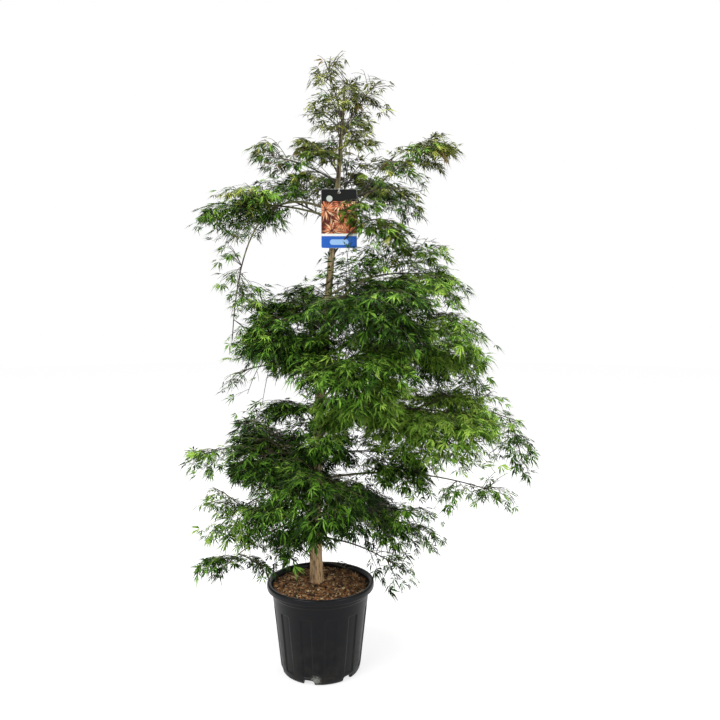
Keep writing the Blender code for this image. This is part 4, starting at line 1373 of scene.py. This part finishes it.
    def shoot(self, mass: Mass, own: int, base: Array, forward: Array, length: float) -> Array | None:
        """A shoot's path: out and over, then drooping. It is shortened until it fits, or left out.

        Args:
            mass: The mass.
            own: Its number among all the masses.
            base: Where the shoot begins.
            forward: Its direction there.
            length: Its length in full.

        Returns:
            Its points, or None where it has no room.
        """
        for pull in (1.0, 0.75, 0.5):
            reach = pull * length
            end = base + reach * forward - self.spray_droop * reach * UP
            middle = base + 0.5 * reach * forward + self.spray_arch * reach * UP
            path = bezier(base, middle, end, np.linspace(0, 1, 5))
            if self.fits(path[2:], mass, own):
                return path
        return None

    def shoots_along(self, mass: Mass, own: int, path: Array, rng: Chance) -> Iterator[Array]:
        """The path of each shoot that a twig carries, on both sides by turns and at its end.

        Args:
            mass: The mass.
            own: Its number among all the masses.
            path: The twig's points.
            rng: Where its chance draws come from.

        Returns:
            Each shoot's points.
        """
        side = 1.0 if rng.random() < 0.5 else -1.0
        length = length_of(path)
        for share in self.spray_shares:
            if share * length < self.shortest_reach:
                continue
            if share < 1.0 and rng.random() > 0.25 + 0.75 * mass.fullness:
                continue
            side = -side
            spot = share * (len(path) - 1)
            low = min(int(spot), len(path) - 2)
            base = path[low] + (spot - low) * (path[low + 1] - path[low])
            forward = unit(path[low + 1] - path[low])
            turn = 0.0 if share == 1.0 else side * rng.uniform(*self.shoot_turn)
            heading = math.cos(turn) * forward + math.sin(turn) * sideways(forward)
            heading += rng.normal(0, self.shoot_scatter, 3)
            heading[2] *= self.shoot_rise
            reach = rng.uniform(*self.spray_length) * (1.15 - 0.35 * share) * mass.half[0] / 0.15
            route = self.shoot(mass, own, base, unit(heading), reach)
            if route is not None:
                yield route

    def twig(self, mass: Mass, own: int, base: Array, target: Array) -> Array | None:
        """A twig's path: over towards its target. It is shortened until it fits, or left out.

        Args:
            mass: The mass.
            own: Its number among all the masses.
            base: Where the twig begins.
            target: The point that it reaches for.

        Returns:
            Its points, or None where it has no room.
        """
        for pull in (1.0, 0.8, 0.6):
            tip = base + pull * (target - base)
            length = np.linalg.norm(tip - base)
            middle = (base + tip) / 2 + self.twig_arch * length * UP
            path = bezier(base, middle, tip, np.linspace(0, 1, self.twig_steps))
            if length > self.shortest_twig and self.fits(path[3:], mass, own):
                return path
        return None

    def grow(self, mass: Mass, own: int) -> tuple[list[Spray], list[Shape], list[int]]:
        """Grows a mass.

        Args:
            mass: The mass.
            own: Its number among all the masses.

        Returns:
            Its sprays, the shapes of its stem and twigs, and each one's colour.
        """
        rng = np.random.default_rng([self.seed, mass.look, *mass.name.encode()])
        tint = np.random.default_rng([self.seed, *mass.name.encode()])
        limb = Limb(mass, self.trunk)
        shares = np.linspace(limb.split(), 1.0, 41)
        stem = limb.at(shares)
        wood = [tube(stem[::4], limb.radius(shares[::4]), 6) if mass.bough else limb.bark(1.0, 10)]
        paths = [stem[20:]]
        for target in self.twig_targets(mass, rng):
            nearest = np.argmin(np.linalg.norm(stem - target, axis=1))
            at = int(np.clip(nearest - 8, 6, 34))
            path = self.twig(mass, own, stem[at], target)
            if path is not None:
                root, tip = self.twig_radii
                root = max(0.60 * float(limb.radius(shares[at])), root)
                wood.append(tube(path, np.linspace(root, tip, self.twig_steps), 5))
                paths.append(path)
        colours, sprays = [0] * len(wood), []
        for path in paths:
            for route in self.shoots_along(mass, own, path, rng):
                wood.append(tube(route, np.linspace(*self.shoot_radii, len(route)), 3))
                colours.append(1 + int(rng.random() < 0.5))
                sprays.append(self.spray(mass, own, route, rng, tint))
        LOG.info("%s: %d leaves", mass.name, sum(len(spray.roots) for spray in sprays))
        return sprays, wood, colours

    def build(self) -> None:
        """Grows every mass, and joins each tier's leaves and twigs."""
        leaf_materials, twig_materials = LEAF.materials(), TWIG.materials()
        bough_finish = self.bark.material()
        rng = np.random.default_rng(self.seed)
        leaves = 0
        for tier, masses in TIERS.items():
            sprays, wood, colours = [], [], []
            for mass in masses:
                for total, part in zip((sprays, wood, colours), self.grow(mass, self.masses.index(mass))):
                    total.extend(part)
                if mass.bough:
                    limb = Limb(mass, self.trunk)
                    bough = make_piece("bark_" + mass.name, limb.bark(limb.split(), 18), [bough_finish])
                    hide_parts("bough_" + mass.name)
            parts = ([getattr(spray, part.name) for spray in sprays] for part in fields(Spray))
            shades, *cut = map(np.concatenate, parts)
            shape = self.cutter.cut(*cut, rng.integers(self.cutter.patterns, size=len(shades)))
            slots = self.lobe_shades(shades, rng)
            foliage = make_piece("leaves_" + tier, shape, leaf_materials, slots, smooth=False)
            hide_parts(*("foliage_" + mass.name for mass in masses if not mass.wisp))
            slots = np.repeat(colours, [len(faces) for _, faces in wood])
            twigs = make_piece("twigs_" + tier, joined(wood), twig_materials, slots)
            leaves += len(shades)
        LOG.info("leaves in all: %d", leaves)


# ------------------------------------------------------------------------------------------ tag


@dataclass
class HangingTag:
    """A picture card on the trunk: header, picture, white strip and blue band, printed on the front."""

    x: float = 0.074
    width: float = 0.130
    height: float = 0.212
    top: float = 1.806
    corner: float = 0.006
    inset: float = 0.0004
    hole_drop: float = 0.012
    hole_radius: float = 0.0052
    header_foot: float = 1.762
    picture_foot: float = 1.646
    strip_foot: float = 1.637
    layer: float = 0.00012
    blades: int = 420
    blade_centres: tuple[tuple[float, float], ...] = (
        (-0.38, 0.75), (0.05, 0.35), (0.40, 0.80), (-0.20, 0.10), (0.28, 0.05), (0.02, 0.95),
    )  # as shares of the picture's width and height
    blade_inks: tuple[tuple[Ink, float], ...] = (
        (Ink.RED, 0.30), (Ink.ORANGE, 0.34), (Ink.PEACH, 0.24), (Ink.CREAM, 0.12),
    )  # each with its share of the blades
    blade_limits: tuple[tuple[float, float], ...] = ((0.002, 0.010), (0.016, 0.040), (0.0008, 0.0020))
    blade_margin: float = 0.0006  # of the picture's sides that blades leave free
    disc_radius: float = 0.011
    pill_radius: float = 0.010
    pill_half: float = 0.024
    steps: int = 32  # round a circle
    seed: int = 11

    def outline(self) -> Array:
        """The card's rounded outline, as x and z, just inside its edge.

        Returns:
            The corners' points, in order.
        """
        middle = np.array((self.x, self.top - self.height / 2))
        reach = np.array((self.width, self.height)) / 2 - self.corner
        corners = ((1, 1, 0), (-1, 1, 90), (-1, -1, 180), (1, -1, 270))
        arcs = []
        for *side, first in corners:
            turns = np.radians(first + 15 * np.arange(7))
            arcs.append(middle + side * reach + (self.corner - self.inset) * direction(turns))
        return np.concatenate(arcs)

    @staticmethod
    def clipped(polygon: Array, axis: int, low: float = -math.inf, high: float = math.inf) -> Array:
        """The part of a polygon between two limits along x or z.

        Args:
            polygon: The convex polygon.
            axis: 0 for limits along x, or 1 along z.
            low: The lower limit.
            high: The upper limit.

        Returns:
            The polygon that is left, which may be empty.
        """
        for sign, limit in ((1.0, low), (-1.0, high)):
            if math.isinf(limit) or not len(polygon):
                continue
            kept = []
            for start, end in zip(polygon, np.roll(polygon, -1, axis=0)):
                a, b = sign * (start[axis] - limit), sign * (end[axis] - limit)
                if a >= 0:
                    kept.append(start)
                if (a < 0) != (b < 0):
                    kept.append(start + (end - start) * a / (a - b))
            polygon = np.array(kept)
        return polygon

    def band(self, low: float, high: float) -> Array:
        """The card's outline between two heights."""
        return self.clipped(self.outline(), 1, low, high)

    def blade_shapes(self, rng: Chance) -> Iterator[tuple[Array, Ink]]:
        """Slim petals that radiate from points scattered over the picture, each with an ink.

        Args:
            rng: Where its chance draws come from.

        Returns:
            Each petal's outline, and its ink.
        """
        low, high = self.picture_foot, self.header_foot
        edge = self.width / 2 - self.blade_margin
        inks, shares = zip(*self.blade_inks)
        for number in range(self.blades):
            across, up = self.blade_centres[number % len(self.blade_centres)]
            centre = np.array((self.x + across * self.width, low + up * (high - low)))
            ahead = direction(rng.uniform(0, 2 * math.pi))
            side = np.array((-ahead[1], ahead[0]))
            start, length, width = (rng.uniform(*limits) for limits in self.blade_limits)
            root, waist, tip = (centre + (start + share * length) * ahead for share in (0.0, 0.45, 1.0))
            petal = np.array([root, waist + width * side, tip, waist - width * side])
            petal = self.clipped(self.clipped(petal, 0, self.x - edge, self.x + edge), 1, low, high)
            if len(petal) > 2:
                yield petal, inks[rng.choice(len(inks), p=shares)]

    def header_shapes(self) -> Iterator[Array]:
        """The header in convex pieces round the hole.

        Returns:
            Each piece's outline.
        """
        hole = np.array((self.x, self.top - self.hole_drop))
        window = self.hole_radius + 0.0016
        header = self.band(self.header_foot, self.top)
        yield self.clipped(header, 0, high=hole[0] - window)
        yield self.clipped(header, 0, low=hole[0] + window)
        middle = self.clipped(header, 0, hole[0] - window, hole[0] + window)
        yield self.clipped(middle, 1, low=hole[1] + window)
        yield self.clipped(middle, 1, high=hole[1] - window)
        rays = self.circle()
        inner = hole + self.hole_radius * rays
        outer = hole + window * rays / np.abs(rays).max(axis=1, keepdims=True)
        for spot in range(self.steps):
            after = (spot + 1) % self.steps
            yield np.array([inner[spot], outer[spot], outer[after], inner[after]])

    def circle(self) -> Array:
        """Directions round a circle."""
        return direction(once_round(self.steps))

    def printing(self) -> Iterator[tuple[Array, float, Ink]]:
        """Every convex patch of ink, with how many layers it stands off the card.

        Returns:
            Each patch's outline, its layers, and its ink.
        """
        for piece in self.header_shapes():
            yield piece, 1, Ink.BLACK
        yield self.band(self.picture_foot, self.header_foot), 1, Ink.MAROON
        yield self.band(self.strip_foot, self.picture_foot), 1, Ink.WHITE
        foot = self.top - self.height
        yield self.band(foot, self.strip_foot), 1, Ink.BLUE
        for number, (petal, ink) in enumerate(self.blade_shapes(np.random.default_rng(self.seed))):
            yield petal, 2 + 4 * number / self.blades, ink
        disc = np.array((self.x - self.width / 2 + 0.030, self.header_foot + 0.010))
        yield disc + self.disc_radius * self.circle(), 7, Ink.GREY
        rays = self.circle()
        ends = np.where(rays[:, :1] > 0, self.pill_half, -self.pill_half) * (1.0, 0.0)
        yield (self.x, (self.strip_foot + foot) / 2) + ends + self.pill_radius * rays, 2, Ink.PALE_BLUE

    def build(self) -> None:
        """Makes the print on the card."""
        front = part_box("tag_card")[0].y
        shapes, slots = [], []
        for polygon, layers, ink in self.printing():
            level = np.full(len(polygon), front - layers * self.layer)
            faces = np.array([(0, spot, spot + 1) for spot in range(1, len(polygon) - 1)])
            shapes.append((np.stack([polygon[:, 0], level, polygon[:, 1]], axis=1), faces))
            slots += [list(Ink).index(ink)] * len(faces)
        points, faces = joined(shapes)
        first, second, third = (points[corner] for corner in faces.T)
        normals = np.cross(second - first, third - first)
        turned = normals[:, 1] > 0
        faces[turned] = faces[turned][:, ::-1]
        print_piece = make_piece("tag_print", (points, faces), INK.materials(), np.array(slots), smooth=False)

    def dress(self, nodes: dict[str, bpy.types.Object]) -> None:
        """Gives the card and its tie their own materials: white coated card, and a clear nylon loop.

        Args:
            nodes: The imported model's objects by name.
        """
        card = FineGrained("coated_card", "#e8e6df", 0.42, 3.0, 4.0, 0.08, coat=0.3)
        nylon = FineGrained("nylon_tie", "#c9cbc8", 0.35, 2.0, 2.0, 0.2, ior=1.53)
        for name, surface in (("tag_card", card), ("tag_tie", nylon)):
            material = surface.material()
            for slot in nodes[name].material_slots:
                slot.material = material


# ------------------------------------------------------------------------------------------ studio


@dataclass
class Studio:
    """A plain pale floor, soft light, and the camera."""

    camera_place: tuple[float, float, float] = (0.150, -2.777, 1.416)
    pitch: float = 4.8
    lens: float = 37.5
    floor_radius: float = 14.0
    floor_level: float = -0.0006
    aim: tuple[float, float, float] = (0.1, 0.0, 1.2)
    lamps: tuple[tuple[str, tuple[float, float, float], float, float], ...] = (
        ("key", (-2.4, -3.2, 4.2), 3.2, 225.0),
        ("fill", (3.2, -2.6, 2.4), 2.4, 70.0),
        ("top", (0.2, 0.3, 5.2), 3.0, 310.0),
        ("back", (0.6, 3.6, 3.4), 2.4, 40.0),
    )  # name, place, size, power

    def added(self, name: str, data: bpy.types.ID) -> bpy.types.Object:
        """Puts an object in the scene.

        Args:
            name: The object's name.
            data: What it shows: a mesh, a light or a camera.

        Returns:
            The object.
        """
        made = bpy.data.objects.new(name, data)
        bpy.context.scene.collection.objects.link(made)
        return made

    def build(self) -> None:
        """Sets the stage."""
        scene = bpy.context.scene
        camera_data = bpy.data.cameras.new("camera")
        camera_data.lens = self.lens
        camera_data.sensor_width = 36.0
        camera_data.clip_end = 60.0
        scene.camera = self.added("camera", camera_data)
        scene.camera.location = self.camera_place
        scene.camera.rotation_euler = (math.radians(90 - self.pitch), 0.0, 0.0)

        mesh = bpy.data.meshes.new("floor")
        ring = self.floor_radius * level_ring(once_round(64)) + self.floor_level * UP
        mesh.from_pydata([tuple(spot) for spot in ring], [], [tuple(range(64))])
        paint = Finish("painted_floor", "#8c8c8c", 1.0, specular_ior_level=0.0, emission_strength=0.72)
        paint.inputs["Emission Color"].default_value = linear("#ffffff")
        mesh.materials.append(paint.material)
        floor = self.added("floor", mesh)
        floor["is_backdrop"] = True

        world = bpy.data.worlds.new("studio")
        world.use_nodes = True
        background = world.node_tree.nodes["Background"]
        background.inputs["Color"].default_value = linear("#ffffff")
        background.inputs["Strength"].default_value = 1.0
        scene.world = world
        scene.view_settings.view_transform = "Standard"
        for name, place, size, power in self.lamps:
            light_data = bpy.data.lights.new(name, "AREA")
            light_data.shape = "DISK"
            light_data.size = size
            light_data.energy = power
            light = self.added(name, light_data)
            light.location = place
            light.rotation_euler = (Vector(self.aim) - Vector(place)).to_track_quat("-Z", "Y").to_euler()


def main() -> None:
    """Loads the frame and dresses every piece."""
    logging.basicConfig(level=logging.INFO, format="%(name)s: %(message)s")
    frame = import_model()
    cad_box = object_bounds()
    Studio().build()
    trunk = Trunk()
    trunk.build()
    NurseryPot().build()
    Mulch().build()
    tag = HangingTag()
    tag.build()
    tag.dress(frame["nodes"])
    room = np.array(cad_box)
    room += SOFT_SHARE * (room[1] - room[0]) * [[-1], [1]]
    Crown(trunk, room).build()


if __name__ == "__main__":
    main()
